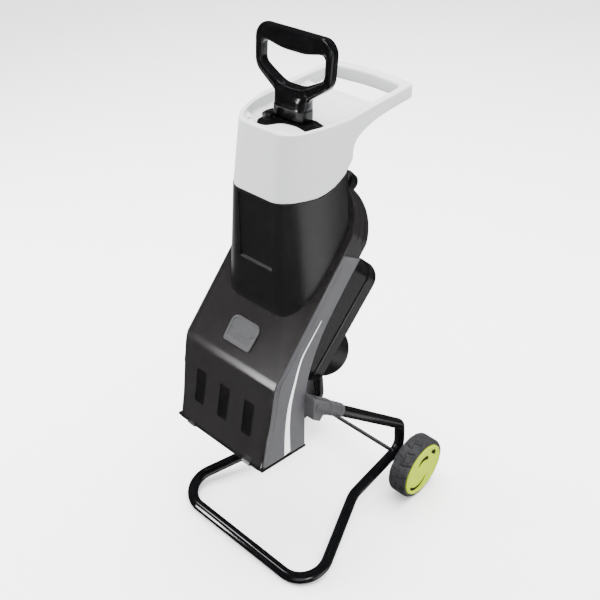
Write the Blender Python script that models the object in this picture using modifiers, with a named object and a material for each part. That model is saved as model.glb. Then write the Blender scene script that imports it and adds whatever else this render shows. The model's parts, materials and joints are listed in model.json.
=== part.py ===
# Electric wood chipper (garden shredder) on a wheeled tube stand.
# Metres, +Z up, -Y is the discharge side, +X is the machine's left-to-right width.
# Origin: on the floor, under the middle of the machine's bounding box.
import bpy
import bmesh
import math
from mathutils import Matrix, Vector

# ----------------------------------------------------------------- driving dimensions
MID_Y = 0.0665            # layout Y of the middle of the machine; the root empty takes it out

SLOPE_DEG = 47.5          # the disc housing's front face rises this much from the horizontal
HUB_Y, HUB_Z = 0.0879, 0.7003   # centre of the disc housing's arched top, on its rear plane
HOUSE_D = 0.060           # depth of the disc housing, front face to rear plane
HALF_W = 0.1215           # half width over the side panels
PANEL_T = 0.0030
WALL = 0.0032
COVER_T = 0.0036
GAP = 0.0003

TUBE_R = 0.0125           # 25 mm frame tube
ARM_X = 0.1295            # half spacing of the tube's arms
ARM_T = -0.2905           # the arms' ends, down the slope from the arch's centre
ARM_N = 0.0735            # and this far behind the housing's rear plane
ARM_DEG = 41.13           # the arms fall this steeply to the rear
FOOT_Y = -0.149           # centre line of the front foot
FOOT_X = 0.2240           # half width to the foot's virtual corners
KNEE_LEG_Y = 0.094        # where the legs turn parallel
NOSE_Y = 0.2600           # where the arms turn down behind the axle
HEEL_Y, HEEL_Z = 0.2680, 0.0800

WHEEL_R = 0.0761
AXLE_Y = 0.2492
AXLE_R = 0.005
TYRE_IN, TYRE_OUT = 0.1670, 0.2145
HUB_R = 0.0652

DISC_R = 0.1000
DISC_T = -0.0525         # cutting disc's axis, down the slope from the arch's centre
BELT_T = -0.1975          # motor axis, down the slope from the arch's centre
PULLEY_BIG = 0.0480
PULLEY_SMALL = 0.0120

MOTOR_TOP_W, MOTOR_BOT_W = 0.0950, 0.0845
MOTOR_TOP_T, MOTOR_BOT_T = 0.0070, -0.2600
SEAM_N, BACK_N, CAN_N = 0.1030, 0.1390, 0.2640
CAN_R = 0.0600

RIM_Z0, RIM_K = 0.9745, 0.0655      # hopper rim: z = RIM_Z0 + RIM_K * y
PLUNGER_TILT = 4.0
STUD_T = 0.1290           # locking knob's stud, above the arch
PLUNGER_Y = 0.0365

LIP_Y, LIP_Z = -0.1865, 0.3445      # lower front corner of the body
DUCT_BACK = -0.0650
DUCT_BACK_Z = 0.3265


# ----------------------------------------------------------------- clean start, collections, frames
for ob in list(bpy.data.objects):
    bpy.data.objects.remove(ob, do_unlink=True)

scene = bpy.context.scene
PARTS = bpy.data.collections.new("wood_chipper")
CUTS = bpy.data.collections.new("cutters")
scene.collection.children.link(PARTS)
scene.collection.children.link(CUTS)


def empty(name, matrix, parent=None):
    ob = bpy.data.objects.new(name, None)
    ob.empty_display_size = 0.03
    PARTS.objects.link(ob)
    ob.parent = parent
    ob.matrix_basis = matrix
    return ob


ROOT = empty("layout", Matrix.Translation((0, -MID_Y, 0)))
SLOPE = empty("slope", Matrix.Translation((0, HUB_Y, HUB_Z)) @ Matrix.Rotation(math.radians(SLOPE_DEG), 4, 'X'), ROOT)
SIDE = empty("side", Matrix(((0, 0, 1, 0), (1, 0, 0, 0), (0, 1, 0, 0), (0, 0, 0, 1))), ROOT)
PUSH = empty("plunger_axis", Matrix.Translation((0, PLUNGER_Y, 1.0)) @ Matrix.Rotation(math.radians(-PLUNGER_TILT), 4, 'X'), ROOT)
ARMF = empty("arm_frame", Matrix.Translation((0, HUB_Y + ARM_T * math.cos(math.radians(SLOPE_DEG)) + ARM_N * math.sin(math.radians(SLOPE_DEG)),
                                              HUB_Z + ARM_T * math.sin(math.radians(SLOPE_DEG)) - ARM_N * math.cos(math.radians(SLOPE_DEG))))
             @ Matrix.Rotation(math.radians(90 - ARM_DEG), 4, 'X'), ROOT)
DISC = empty("disc_axis", Matrix.Translation((0, DISC_T, 0)), SLOPE)
MOTOR = empty("motor_axis", Matrix.Translation((0, BELT_T, 0)), SLOPE)
bpy.context.view_layer.update()

SL = math.radians(SLOPE_DEG)
UP_Y, UP_Z = math.cos(SL), math.sin(SL)        # up-slope direction
IN_Y, IN_Z = math.sin(SL), -math.cos(SL)       # into the machine, away from the front face


def sl(t, n):
    """Layout (y, z) of the point t up the slope and n behind the housing's rear plane."""
    return (HUB_Y + t * UP_Y + n * IN_Y, HUB_Z + t * UP_Z + n * IN_Z)


# ----------------------------------------------------------------- materials
def material(name, rgb, rough, metal=0.0):
    m = bpy.data.materials.new(name)
    m.use_nodes = True
    b = m.node_tree.nodes["Principled BSDF"]
    b.inputs["Base Color"].default_value = (rgb[0], rgb[1], rgb[2], 1)
    b.inputs["Roughness"].default_value = rough
    b.inputs["Metallic"].default_value = metal
    m.diffuse_color = (rgb[0], rgb[1], rgb[2], 1)
    return m


M_WHITE = material("hopper_grey", (0.74, 0.75, 0.76), 0.42)
M_BLACK = material("satin_black", (0.030, 0.029, 0.029), 0.38)
M_GLOSS = material("gloss_black", (0.012, 0.012, 0.013), 0.16)
M_SIDE = material("side_grey", (0.20, 0.20, 0.215), 0.42)
M_SILVER = material("silver_trim", (0.68, 0.69, 0.70), 0.34)
M_BADGE = material("badge_grey", (0.30, 0.30, 0.31), 0.40)
M_FRAME = material("frame_paint", (0.008, 0.008, 0.008), 0.18)
M_SOCKET = material("socket_grey", (0.17, 0.17, 0.175), 0.5)
M_TYRE = material("tyre_grey", (0.045, 0.045, 0.05), 0.75)
M_LIME = material("hub_lime", (0.66, 0.74, 0.045), 0.42)
M_STEEL = material("steel", (0.55, 0.55, 0.56), 0.32, 1.0)
M_ALLOY = material("alloy", (0.60, 0.60, 0.61), 0.45, 1.0)
M_COPPER = material("winding", (0.55, 0.25, 0.10), 0.4, 1.0)
M_RUBBER = material("belt_rubber", (0.02, 0.02, 0.02), 0.85)
M_RED = material("switch_red", (0.62, 0.03, 0.02), 0.35)


# ----------------------------------------------------------------- shape helpers
def finish(ob, mat, smooth=True, angle=35.0):
    ob.data.materials.clear()
    ob.data.materials.append(mat)
    if smooth:
        ob.data.shade_smooth()
        ob.data.set_sharp_from_angle(angle=math.radians(angle))
    return ob


def mesh_object(name, bm, frame, local=None, cut=False):
    bmesh.ops.recalc_face_normals(bm, faces=bm.faces)
    me = bpy.data.meshes.new(name)
    bm.to_mesh(me)
    bm.free()
    ob = bpy.data.objects.new(name, me)
    (CUTS if cut else PARTS).objects.link(ob)
    ob.parent = frame
    ob.matrix_basis = local if local is not None else Matrix.Identity(4)
    if cut:
        ob.hide_render = True
        ob.display_type = 'WIRE'
    bpy.context.view_layer.update()
    return ob


def box(name, lo, hi, frame, cut=False, bevel=0.0, segs=1, only_z=False):
    bm = bmesh.new()
    bmesh.ops.create_cube(bm, size=1.0)
    c = [(a + b) / 2 for a, b in zip(lo, hi)]
    s = [b - a for a, b in zip(lo, hi)]
    for v in bm.verts:
        v.co = Vector((c[0] + v.co.x * s[0], c[1] + v.co.y * s[1], c[2] + v.co.z * s[2]))
    if bevel > 0:
        edges = [e for e in bm.edges if not only_z or abs((e.verts[0].co - e.verts[1].co).z) > 1e-6]
        bmesh.ops.bevel(bm, geom=edges, offset=bevel, segments=segs, profile=0.5, affect='EDGES')
    return mesh_object(name, bm, frame, cut=cut)


def cyl(name, r1, r2, z0, z1, frame, centre=(0, 0), axis='Z', segs=32, cut=False):
    """Cone frustum from z0 (radius r1) to z1 (radius r2) along a frame axis through centre."""
    bm = bmesh.new()
    bmesh.ops.create_cone(bm, cap_ends=True, cap_tris=False, segments=segs, radius1=r1, radius2=r2, depth=z1 - z0)
    rot = {'Z': Matrix.Identity(4), 'X': Matrix.Rotation(math.radians(90), 4, 'Y'),
           'Y': Matrix.Rotation(math.radians(-90), 4, 'X')}[axis]
    mid = (z0 + z1) / 2
    off = {'Z': (centre[0], centre[1], mid), 'X': (mid, centre[0], centre[1]), 'Y': (centre[0], mid, centre[1])}[axis]
    bmesh.ops.transform(bm, matrix=Matrix.Translation(off) @ rot, verts=bm.verts)
    return mesh_object(name, bm, frame, cut=cut)


def turned(name, profile, frame, local=None, segs=40, cut=False):
    """Closed profile of (radius, height) points turned about the frame's Z axis."""
    me = bpy.data.meshes.new(name)
    pts = [(r, 0, h) for r, h in profile]
    n = len(pts)
    edges = [(i, (i + 1) % n) for i in range(n) if profile[i][0] > 1e-6 or profile[(i + 1) % n][0] > 1e-6]
    me.from_pydata(pts, edges, [])
    ob = bpy.data.objects.new(name, me)
    (CUTS if cut else PARTS).objects.link(ob)
    ob.parent = frame
    ob.matrix_basis = local if local is not None else Matrix.Identity(4)
    sc = ob.modifiers.new("turn", 'SCREW')
    sc.steps = segs
    sc.render_steps = segs
    sc.use_merge_vertices = True
    sc.merge_threshold = 0.00005
    sc.use_normal_calculate = True
    bpy.context.view_layer.update()
    dg = bpy.context.evaluated_depsgraph_get()
    baked = bpy.data.meshes.new_from_object(ob.evaluated_get(dg))
    bm = bmesh.new()
    bm.from_mesh(baked)
    bmesh.ops.remove_doubles(bm, verts=bm.verts, dist=0.00002)
    bmesh.ops.recalc_face_normals(bm, faces=bm.faces)
    bm.to_mesh(baked)
    bm.free()
    ob.modifiers.clear()
    ob.data = baked
    if cut:
        ob.hide_render = True
        ob.display_type = 'WIRE'
    bpy.context.view_layer.update()
    return ob


def plate(name, outline, z0, z1, frame, holes=(), cut=False):
    """A flat outline, with holes, extruded from z0 to z1 in a frame."""
    cu = bpy.data.curves.new(name, 'CURVE')
    cu.dimensions = '2D'
    cu.fill_mode = 'BOTH'
    cu.extrude = (z1 - z0) / 2
    for loop in (outline,) + tuple(holes):
        sp = cu.splines.new('POLY')
        sp.points.add(len(loop) - 1)
        for p, q in zip(sp.points, loop):
            p.co = (q[0], q[1], 0, 1)
        sp.use_cyclic_u = True
    tmp = bpy.data.objects.new(name + "_outline", cu)
    CUTS.objects.link(tmp)
    bpy.context.view_layer.update()
    dg = bpy.context.evaluated_depsgraph_get()
    me = bpy.data.meshes.new_from_object(tmp.evaluated_get(dg))
    bm = bmesh.new()
    bm.from_mesh(me)
    bmesh.ops.remove_doubles(bm, verts=bm.verts, dist=0.00002)
    bmesh.ops.translate(bm, verts=bm.verts, vec=(0, 0, (z0 + z1) / 2))
    bmesh.ops.dissolve_limit(bm, angle_limit=math.radians(0.5), verts=bm.verts, edges=bm.edges)
    bpy.data.objects.remove(tmp, do_unlink=True)
    return mesh_object(name, bm, frame, cut=cut)


def tube(name, points, radius, frame, segs=12, hollow=0.0):
    """A round tube or rod through points, with filled ends."""
    cu = bpy.data.curves.new(name, 'CURVE')
    cu.dimensions = '3D'
    cu.bevel_depth = radius
    cu.bevel_resolution = max(0, segs // 4 - 1)
    cu.use_fill_caps = True
    sp = cu.splines.new('POLY')
    sp.points.add(len(points) - 1)
    for p, q in zip(sp.points, points):
        p.co = (q[0], q[1], q[2], 1)
    tmp = bpy.data.objects.new(name + "_line", cu)
    CUTS.objects.link(tmp)
    bpy.context.view_layer.update()
    dg = bpy.context.evaluated_depsgraph_get()
    me = bpy.data.meshes.new_from_object(tmp.evaluated_get(dg))
    bm = bmesh.new()
    bm.from_mesh(me)
    bmesh.ops.remove_doubles(bm, verts=bm.verts, dist=0.00002)
    bpy.data.objects.remove(tmp, do_unlink=True)
    return mesh_object(name, bm, frame)


def loft(name, rings, frame, cut=False):
    """A closed skin through rings that all have the same number of points."""
    bm = bmesh.new()
    rows = [[bm.verts.new(p) for p in ring] for ring in rings]
    n = len(rings[0])
    for a, b in zip(rows, rows[1:]):
        for i in range(n):
            j = (i + 1) % n
            bm.faces.new((a[i], a[j], b[j], b[i]))
    bm.faces.new(rows[0])
    bm.faces.new(rows[-1])
    return mesh_object(name, bm, frame, cut=cut)


def boolean(ob, other, op='DIFFERENCE', drop=True):
    """Apply a Boolean with another object, and tidy what it leaves."""
    md = ob.modifiers.new("cut", 'BOOLEAN')
    md.operation = op
    md.object = other
    md.solver = 'EXACT'
    bpy.context.view_layer.update()
    dg = bpy.context.evaluated_depsgraph_get()
    me = bpy.data.meshes.new_from_object(ob.evaluated_get(dg))
    ob.modifiers.clear()
    ob.data = me
    bm = bmesh.new()
    bm.from_mesh(me)
    bmesh.ops.remove_doubles(bm, verts=bm.verts, dist=0.00002)
    bmesh.ops.dissolve_limit(bm, angle_limit=math.radians(0.3), verts=bm.verts, edges=bm.edges)
    bm.to_mesh(me)
    bm.free()
    if drop:
        bpy.data.objects.remove(other, do_unlink=True)
    bpy.context.view_layer.update()
    return ob


def fillet(points, radii, steps=6, closed=True):
    """Round the corners of a polyline: 2D or 3D points with a radius for each."""
    out = []
    n = len(points)
    for i, p in enumerate(points):
        r = radii[i] if isinstance(radii, (list, tuple)) else radii
        if r <= 0 or (not closed and i in (0, n - 1)):
            out.append(tuple(p))
            continue
        v = Vector(p)
        a = Vector(points[(i - 1) % n]) - v
        b = Vector(points[(i + 1) % n]) - v
        ang = a.angle(b)
        if ang > math.radians(178):
            out.append(tuple(p))
            continue
        d = min(r / math.tan(ang / 2), a.length * 0.495, b.length * 0.495)
        r2 = d * math.tan(ang / 2)
        an, bn = a.normalized(), b.normalized()
        s, e = v + an * d, v + bn * d
        c = v + (an + bn).normalized() * (r2 / math.sin(ang / 2))
        k = steps[i] if isinstance(steps, (list, tuple)) else steps
        u, w = s - c, e - c
        tot = u.angle(w)
        for j in range(k + 1):
            f = j / k
            q = (u * math.sin((1 - f) * tot) + w * math.sin(f * tot)) / math.sin(tot)
            out.append(tuple(c + q))
    return out


def arc(cx, cy, r, a0, a1, n):
    return [(cx + r * math.cos(math.radians(a0 + (a1 - a0) * i / n)),
             cy + r * math.sin(math.radians(a0 + (a1 - a0) * i / n))) for i in range(n + 1)]


def bez(p0, p1, p2, p3, n):
    out = []
    for i in range(n + 1):
        t = i / n
        out.append(tuple((1 - t) ** 3 * a + 3 * (1 - t) ** 2 * t * b + 3 * (1 - t) * t * t * c + t ** 3 * d
                         for a, b, c, d in zip(p0, p1, p2, p3)))
    return out


# ================================================================= stand
def on_loop(x, y):
    """A point of the stand's lower loop, a flat frame rising from the foot towards the axle."""
    return (x, y, TUBE_R + (WHEEL_R - TUBE_R) * (y - FOOT_Y) / (AXLE_Y - FOOT_Y))


k_leg = (WHEEL_R - TUBE_R) / (AXLE_Y - FOOT_Y)
arm0 = sl(ARM_T, ARM_N)
nose_z = arm0[1] - math.tan(math.radians(ARM_DEG)) * (NOSE_Y - arm0[0])
half = [(ARM_X, arm0[0], arm0[1]), (ARM_X, NOSE_Y, nose_z), (ARM_X, HEEL_Y, HEEL_Z), on_loop(ARM_X, KNEE_LEG_Y), (FOOT_X, FOOT_Y, TUBE_R)]
path = half + [(-x, y, z) for x, y, z in reversed(half)]
rad = [0, 0.032, 0.032, 0.080, 0.060, 0.060, 0.080, 0.032, 0.032, 0]
stp = [1, 4, 6, 3, 7, 7, 3, 6, 4, 1]
line = fillet(path, rad, stp, closed=False)
frame_tube = finish(tube("frame_tube", line, TUBE_R, ROOT, segs=12), M_FRAME)
axle_hole = cyl("axle_hole", AXLE_R + GAP, AXLE_R + GAP, -0.2, 0.2, ROOT, (AXLE_Y, WHEEL_R), 'X', 12, cut=True)
boolean(frame_tube, axle_hole)
finish(frame_tube, M_FRAME)
axle = finish(cyl("axle", AXLE_R, AXLE_R, -0.1985, 0.1985, ROOT, (AXLE_Y, WHEEL_R), 'X', 16), M_FRAME)


# ================================================================= wheels
# three curved slots in each cap, given as radius and angle round the axle, and their width
HUB_SLOTS = ((((0.0500, 22), (0.0505, 38), (0.0480, 54)), 0.0110),
             (((0.0290, 50), (0.0325, 76), (0.0325, 104), (0.0290, 130)), 0.0110),
             (((0.0545, 212), (0.0520, 234), (0.0450, 262), (0.0330, 298)), 0.0090))


def slot_shape(line, wide, s):
    mid = [(r * math.cos(math.radians(t)), r * math.sin(math.radians(t))) for r, t in line]
    lo_side, hi_side = [], []
    for i, p in enumerate(mid):
        q0, q1 = mid[max(0, i - 1)], mid[min(len(mid) - 1, i + 1)]
        d = Vector((q1[0] - q0[0], q1[1] - q0[1])).normalized()
        hw = wide * (0.35 if i in (0, len(mid) - 1) else 1.0) / 2
        lo_side.append((p[0] + d.y * hw, p[1] - d.x * hw))
        hi_side.append((p[0] - d.y * hw, p[1] + d.x * hw))
    return [(-z * s, y) for y, z in lo_side + list(reversed(hi_side))]


def wheel(side, s):
    local = Matrix.Translation((0, AXLE_Y, WHEEL_R)) @ Matrix.Rotation(math.radians(90 * s), 4, 'Y')
    w0, w1 = TYRE_IN, TYRE_OUT
    pro = [(AXLE_R + GAP, 0.1645), (0.0130, 0.1645), (0.0150, 0.1850), (0.0640, 0.1850), (0.0650, w0 + 0.0020), (0.0720, w0),
           (0.0750, w0 + 0.0040), (WHEEL_R, w0 + 0.0100), (WHEEL_R, w1 - 0.0090), (0.0748, w1 - 0.0030), (0.0722, w1),
           (0.0657, w1 - 0.0010), (0.0657, 0.1895), (AXLE_R + GAP, 0.1895)]
    t = finish(turned(side + "_tyre", pro, ROOT, local, segs=36), M_TYRE)
    hub = turned(side + "_hub", [(HUB_R, 0.1900), (HUB_R, 0.2165), (0.0606, 0.2165), (0.0592, 0.2143), (0.0200, 0.2143),
                                 (0.0172, 0.2158), (0.0, 0.2158), (0.0, 0.2030), (0.0150, 0.2030), (0.0560, 0.2050), (0.0605, 0.1990), (0.0610, 0.1900)],
                 ROOT, local, segs=36)
    for line, wide in HUB_SLOTS:
        slot = slot_shape(line, wide, s)
        c = plate("hub_slot", slot, 0.1950, 0.230, ROOT, cut=True)
        c.matrix_basis = local
        bpy.context.view_layer.update()
        boolean(hub, c)
    finish(hub, M_LIME)
    sp = turned(side + "_spacer", [(0.0085, ARM_X + TUBE_R + 0.0006), (0.0085, 0.1640), (AXLE_R + GAP, 0.1640),
                                   (AXLE_R + GAP, ARM_X + TUBE_R + 0.0006)], ROOT, local, segs=16)
    finish(sp, M_SOCKET)
    return t, hub, sp


for nm, s in (("right", 1), ("left", -1)):
    wheel(nm, s)

# ================================================================= disc housing, its side panels and duct
R_OUT = HALF_W - PANEL_T - GAP
ARCH_N = 18


ARCH_R = HALF_W + 0.0006


def arch(r, low, half_w=None):
    """The arched top of the disc housing over straight flanks half_w apart."""
    hw = half_w if half_w is not None else r
    a0 = math.degrees(math.acos(hw / r))
    return arc(0, 0, r, a0, 180 - a0, ARCH_N) + [(-hw, low), (hw, low)]


FRONT_N = -HOUSE_D
knee = sl(-0.2849, FRONT_N)


def back_curve(off):
    """Rear outline of the duct, from the disc housing's rear plane down to the outlet, moved in by off."""
    a = sl(-0.115, -off)
    return bez(a, (a[0] - 0.036, a[1] - 0.040), (DUCT_BACK - off, 0.505), (DUCT_BACK - off, 0.435), 6)


def body_outline(front_off, back_off, low, top_t=-0.06):
    """Side outline (y, z) of the lower body, offset inwards at its front and back."""
    f_bot = (LIP_Y + front_off / math.cos(math.radians(11)), low[0])
    kn = (knee[0] + front_off * 1.0, knee[1] - front_off * 0.30)
    top_f = sl(top_t, FRONT_N + front_off)
    top_b = sl(top_t, -back_off)
    pts = fillet([f_bot, kn, top_f], [0, 0.026 - front_off, 0], 4, closed=False)
    return pts + [top_b] + back_curve(back_off) + [(DUCT_BACK - back_off, low[1])]


def socket(name, s):
    """Moulded socket that holds one end of the tube to the back of the housing."""
    cx = s * ARM_X
    ob = box(name, (cx - 0.0170, -0.0280, -0.0370), (cx + 0.0150, 0.0135, 0.0340), ARMF, bevel=0.003)
    boolean(ob, cyl("core", 0.0168, 0.0168, -0.20, 0.0005, ARMF, (cx, 0), segs=20, cut=True))
    prof = [(0.0168, 0.0018), (0.0168, -0.0420), (0.0150, -0.0700), (0.0144, -0.0980), (0.0154, -0.1000), (0.0154, -0.1120),
            (0.0144, -0.1130), (TUBE_R + GAP, -0.1130), (TUBE_R + GAP, 0.0004), (0.0, 0.0004), (0.0, 0.0018)]
    boolean(ob, turned("sleeve", prof, ARMF, Matrix.Translation((cx, 0, 0)), segs=20, cut=True), 'UNION')
    body = plate("body_room", body_outline(0.0, -GAP, (0.30, 0.30)), -0.20, 0.20, SIDE, cut=True)
    return boolean(ob, body)


low_line = (LIP_Z + 0.0025, DUCT_BACK_Z + 0.0025)
rear_housing = plate("rear_housing", arch(ARCH_R, -0.20, R_OUT), 0.0, HOUSE_D - COVER_T - GAP, SLOPE)
lower = plate("lower_body", body_outline(COVER_T + GAP, 0.0, low_line), -R_OUT, R_OUT, SIDE, cut=True)
boolean(rear_housing, lower, 'UNION')
pocket = plate("pocket", arch(R_OUT - WALL, -0.19), WALL, HOUSE_D + 0.02, SLOPE, cut=True)
boolean(rear_housing, pocket)
f_in = body_outline(-0.02, WALL, (LIP_Z - 0.03, DUCT_BACK_Z - 0.03), top_t=-0.08)
duct = plate("duct", f_in, -(R_OUT - WALL), R_OUT - WALL, SIDE, cut=True)
boolean(rear_housing, duct)
# openings in the rear wall for the spindle and the motor's shaft
boolean(rear_housing, cyl("spindle_hole", 0.0262, 0.0262, -0.02, 0.02, DISC, (0, 0), segs=28, cut=True))
# boss that takes the locking knob's stud, above the arch
boss = box("knob_boss", (-0.0150, 0.108, 0.0006), (0.0150, 0.1440, 0.0520), SLOPE, cut=True, bevel=0.004, only_z=True)
boolean(boss, cyl("under_arch", ARCH_R - 0.0015, ARCH_R - 0.0015, -0.02, 0.08, SLOPE, (0, 0), segs=4 * ARCH_N, cut=True))
boolean(rear_housing, boss, 'UNION')
boolean(rear_housing, cyl("stud_hole", 0.0046, 0.0046, -0.05, 0.10, SLOPE, (0, STUD_T), segs=16, cut=True))
finish(rear_housing, M_BLACK)
right_socket = finish(socket("right_socket", 1), M_SOCKET)
left_socket = finish(socket("left_socket", -1), M_SOCKET)


# side panels: grey shells over the flanks, with a silver stripe let into each
panel_front = fillet([(LIP_Y + COVER_T + 0.0006, low_line[0]), (knee[0] + COVER_T + 0.0006, knee[1] - 0.0012),
                      sl(-0.012, FRONT_N + COVER_T + 0.0006)], [0, 0.022, 0], 4, closed=False)
panel_back = [sl(0.0, -0.0010), sl(-0.06, -0.0022), sl(-0.105, -0.0012)] + back_curve(0.0008)[1:] + [(DUCT_BACK - 0.0008, low_line[1])]
# the stripe's middle line from top to bottom, with its width along Y
stripe = [(-0.0200, 0.6150, 0.0016), (-0.0480, 0.5860, 0.0030), (-0.0750, 0.5550, 0.0044), (-0.0950, 0.5030, 0.0064),
          (-0.1080, 0.4600, 0.0088), (-0.1140, 0.4180, 0.0118), (-0.1158, 0.3820, 0.0142), (-0.1162, low_line[0] - 0.0060, 0.0165)]
stripe_in = [(y - w / 2, z) for y, z, w in reversed(stripe)]
stripe_out = [(y + w / 2, z) for y, z, w in reversed(stripe)]
for nm, s in (("right", 1), ("left", -1)):
    a, b = (R_OUT + GAP, HALF_W) if s > 0 else (-HALF_W, -R_OUT - GAP)
    p = plate(nm + "_side_panel", panel_front + panel_back, a, b, SIDE)
    # a shallow seat for the stripe
    a2, b2 = (HALF_W - 0.0012, HALF_W + 0.01) if s > 0 else (-HALF_W - 0.01, -HALF_W + 0.0012)
    inner = [(stripe_in[0][0], stripe_in[0][1] - 0.01)] + stripe_in + [(stripe_in[-1][0], stripe_in[-1][1] + 0.0012)]
    outer = [(stripe_out[0][0], stripe_out[0][1] - 0.01)] + stripe_out + [(stripe_out[-1][0], stripe_out[-1][1] + 0.0012)]
    grow = [(y - 0.0006, z) for y, z in inner] + [(y + 0.0006, z) for y, z in reversed(outer)]
    boolean(p, plate("seat", grow, a2, b2, SIDE, cut=True))
    finish(p, M_SIDE)
    a3, b3 = (HALF_W - 0.0009, HALF_W + 0.0004) if s > 0 else (-HALF_W - 0.0004, -HALF_W + 0.0009)
    st = plate(nm + "_stripe", stripe_in + list(reversed(stripe_out)), a3, b3, SIDE)
    finish(st, M_SILVER)

# frame round the outlet, open at the front where the cover's hinge rod lies
oz = 0.0035
rim_pts = [(-HALF_W - 0.001, 0), (HALF_W + 0.001, 0)]
tilt = math.atan2(low_line[0] - low_line[1], -(LIP_Y - DUCT_BACK))
outlet_len = math.hypot(LIP_Y - DUCT_BACK, low_line[0] - low_line[1])
OUT = empty("outlet", Matrix.Translation((0, LIP_Y, low_line[0] - 0.0004)) @ Matrix.Rotation(-tilt, 4, 'X'), ROOT)
bpy.context.view_layer.update()
outer = [(-HALF_W - 0.0014, -0.0014), (-HALF_W + 0.008, -0.0014), (-HALF_W + 0.008, 0.0062), (-HALF_W + 0.0036, 0.0062),
         (-HALF_W + 0.0036, outlet_len - 0.0036), (HALF_W - 0.0036, outlet_len - 0.0036), (HALF_W - 0.0036, 0.0062),
         (HALF_W - 0.008, 0.0062), (HALF_W - 0.008, -0.0014), (HALF_W + 0.0014, -0.0014),
         (HALF_W + 0.0014, outlet_len + 0.0014), (-HALF_W - 0.0014, outlet_len + 0.0014)]
outlet_frame = finish(plate("outlet_frame", outer, -0.0042, 0.0, OUT), M_GLOSS, smooth=False)

hinge_y, hinge_z = LIP_Y - 0.0008, LIP_Z - 0.0008
hinge_rod = cyl("cover_hinge_rod", 0.0025, 0.0025, -0.1130, 0.1130, ROOT, (hinge_y, hinge_z), 'X', 12)
finish(hinge_rod, M_FRAME)

# ================================================================= front cover
cov = fillet([(LIP_Y, LIP_Z + 0.0030), (knee[0], knee[1]), sl(HALF_W + 0.005, FRONT_N)], [0, 0.026, 0], 5, closed=False)
cov_in = fillet([(LIP_Y + COVER_T, LIP_Z + 0.0030), (knee[0] + COVER_T, knee[1] - 0.0012),
                 sl(HALF_W + 0.005, FRONT_N + COVER_T)], [0, 0.0225, 0], 5, closed=False)
front_cover = plate("front_cover", cov + list(reversed(cov_in)), -HALF_W - 0.01, HALF_W + 0.01, SIDE)
keep = plate("arch_trim", arch(ARCH_R, -0.70, HALF_W), -0.3, 0.3, SLOPE, cut=True)
boolean(front_cover, keep, 'INTERSECT')
# tab above the arch that the locking knob pulls home
tab = box("cover_tab", (-0.0165, 0.110, HOUSE_D - COVER_T), (0.0165, 0.1460, HOUSE_D), SLOPE, cut=True, bevel=0.006, segs=2, only_z=True)
boolean(front_cover, tab, 'UNION')
boolean(front_cover, cyl("tab_hole", 0.0062, 0.0062, 0.03, 0.10, SLOPE, (0, STUD_T), segs=16, cut=True))
# throat of the feed chute
throat = fillet([(-0.094, -0.050), (-0.094, 0.020), (-0.070, 0.050), (0.070, 0.050), (0.094, 0.020), (0.094, -0.050),
                 (0.062, -0.146), (-0.062, -0.146)], [0.02, 0.02, 0.02, 0.02, 0.02, 0.02, 0.015, 0.015], 2)
boolean(front_cover, plate("throat", throat, 0.02, 0.12, SLOPE, cut=True))
# three tall pockets low on the face
lean = math.atan2(knee[0] - LIP_Y, knee[1] - LIP_Z)
FACE = empty("front_face", Matrix.Translation((0, LIP_Y, LIP_Z)) @ Matrix.Rotation(math.radians(90) - lean, 4, 'X'), ROOT)
bpy.context.view_layer.update()
for k in (-1, 0, 1):
    w = box("pocket", (k * 0.0669 - 0.0130, 0.0560, -0.0022), (k * 0.0669 + 0.0130, 0.1320, 0.02), FACE, cut=True)
    boolean(front_cover, w)
# knuckles on the hinge rod
for x in (-0.080, 0.080):
    kn = cyl("knuckle", 0.0050, 0.0050, x - 0.010, x + 0.010, ROOT, (hinge_y, hinge_z), 'X', 14, cut=True)
    web = box("knuckle_web", (x - 0.010, LIP_Y + 0.0001, hinge_z), (x + 0.010, LIP_Y + COVER_T, LIP_Z + 0.012), ROOT, cut=True)
    boolean(front_cover, kn, 'UNION')
    boolean(front_cover, web, 'UNION')
boolean(front_cover, cyl("rod_bore", 0.0028, 0.0028, -0.12, 0.12, ROOT, (hinge_y, hinge_z), 'X', 14, cut=True))
finish(front_cover, M_BLACK)

badge = fillet([(-0.0345, -0.2530), (0.0345, -0.2530), (0.0365, -0.1990), (-0.0365, -0.1990)], [0.006, 0.006, 0.014, 0.014], 3)
badge_plate = finish(plate("badge_plate", badge, HOUSE_D + GAP, HOUSE_D + 0.0035, SLOPE), M_BADGE)


# ================================================================= feed chute
def chute_ring(z, off=0.0, n=7):
    """Plan outline of the chute at height z, moved inwards by off."""
    k = (0.860 - z) / 0.240                       # 0 at the hopper, 1 at the slope
    k = max(-0.1, min(1.1, k))
    yf = -0.0655 - 0.0030 * k + off               # front facet
    f = 0.038 + 0.008 * k - off * 0.4
    w = 0.1000 + 0.0195 * k - off
    ys = 0.052 - 0.010 * k
    yb = 0.0835 - off
    kc = max(0.0, min(1.0, k))
    right = [(f, yf)] + bez((f, yf), (f + 0.030 + 0.004 * kc, yf), (w - 0.008 + 0.007 * kc, -0.030 - 0.018 * kc + off * 0.5), (w, ys), n)[1:]
    right += [(w, yb - 0.022)] + arc(w - 0.022, yb - 0.022, 0.022, 0, 90, 3)[1:]
    left = [(-x, y) for x, y in reversed(right)]
    return [(x, y, z) for x, y in right + left]


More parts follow.
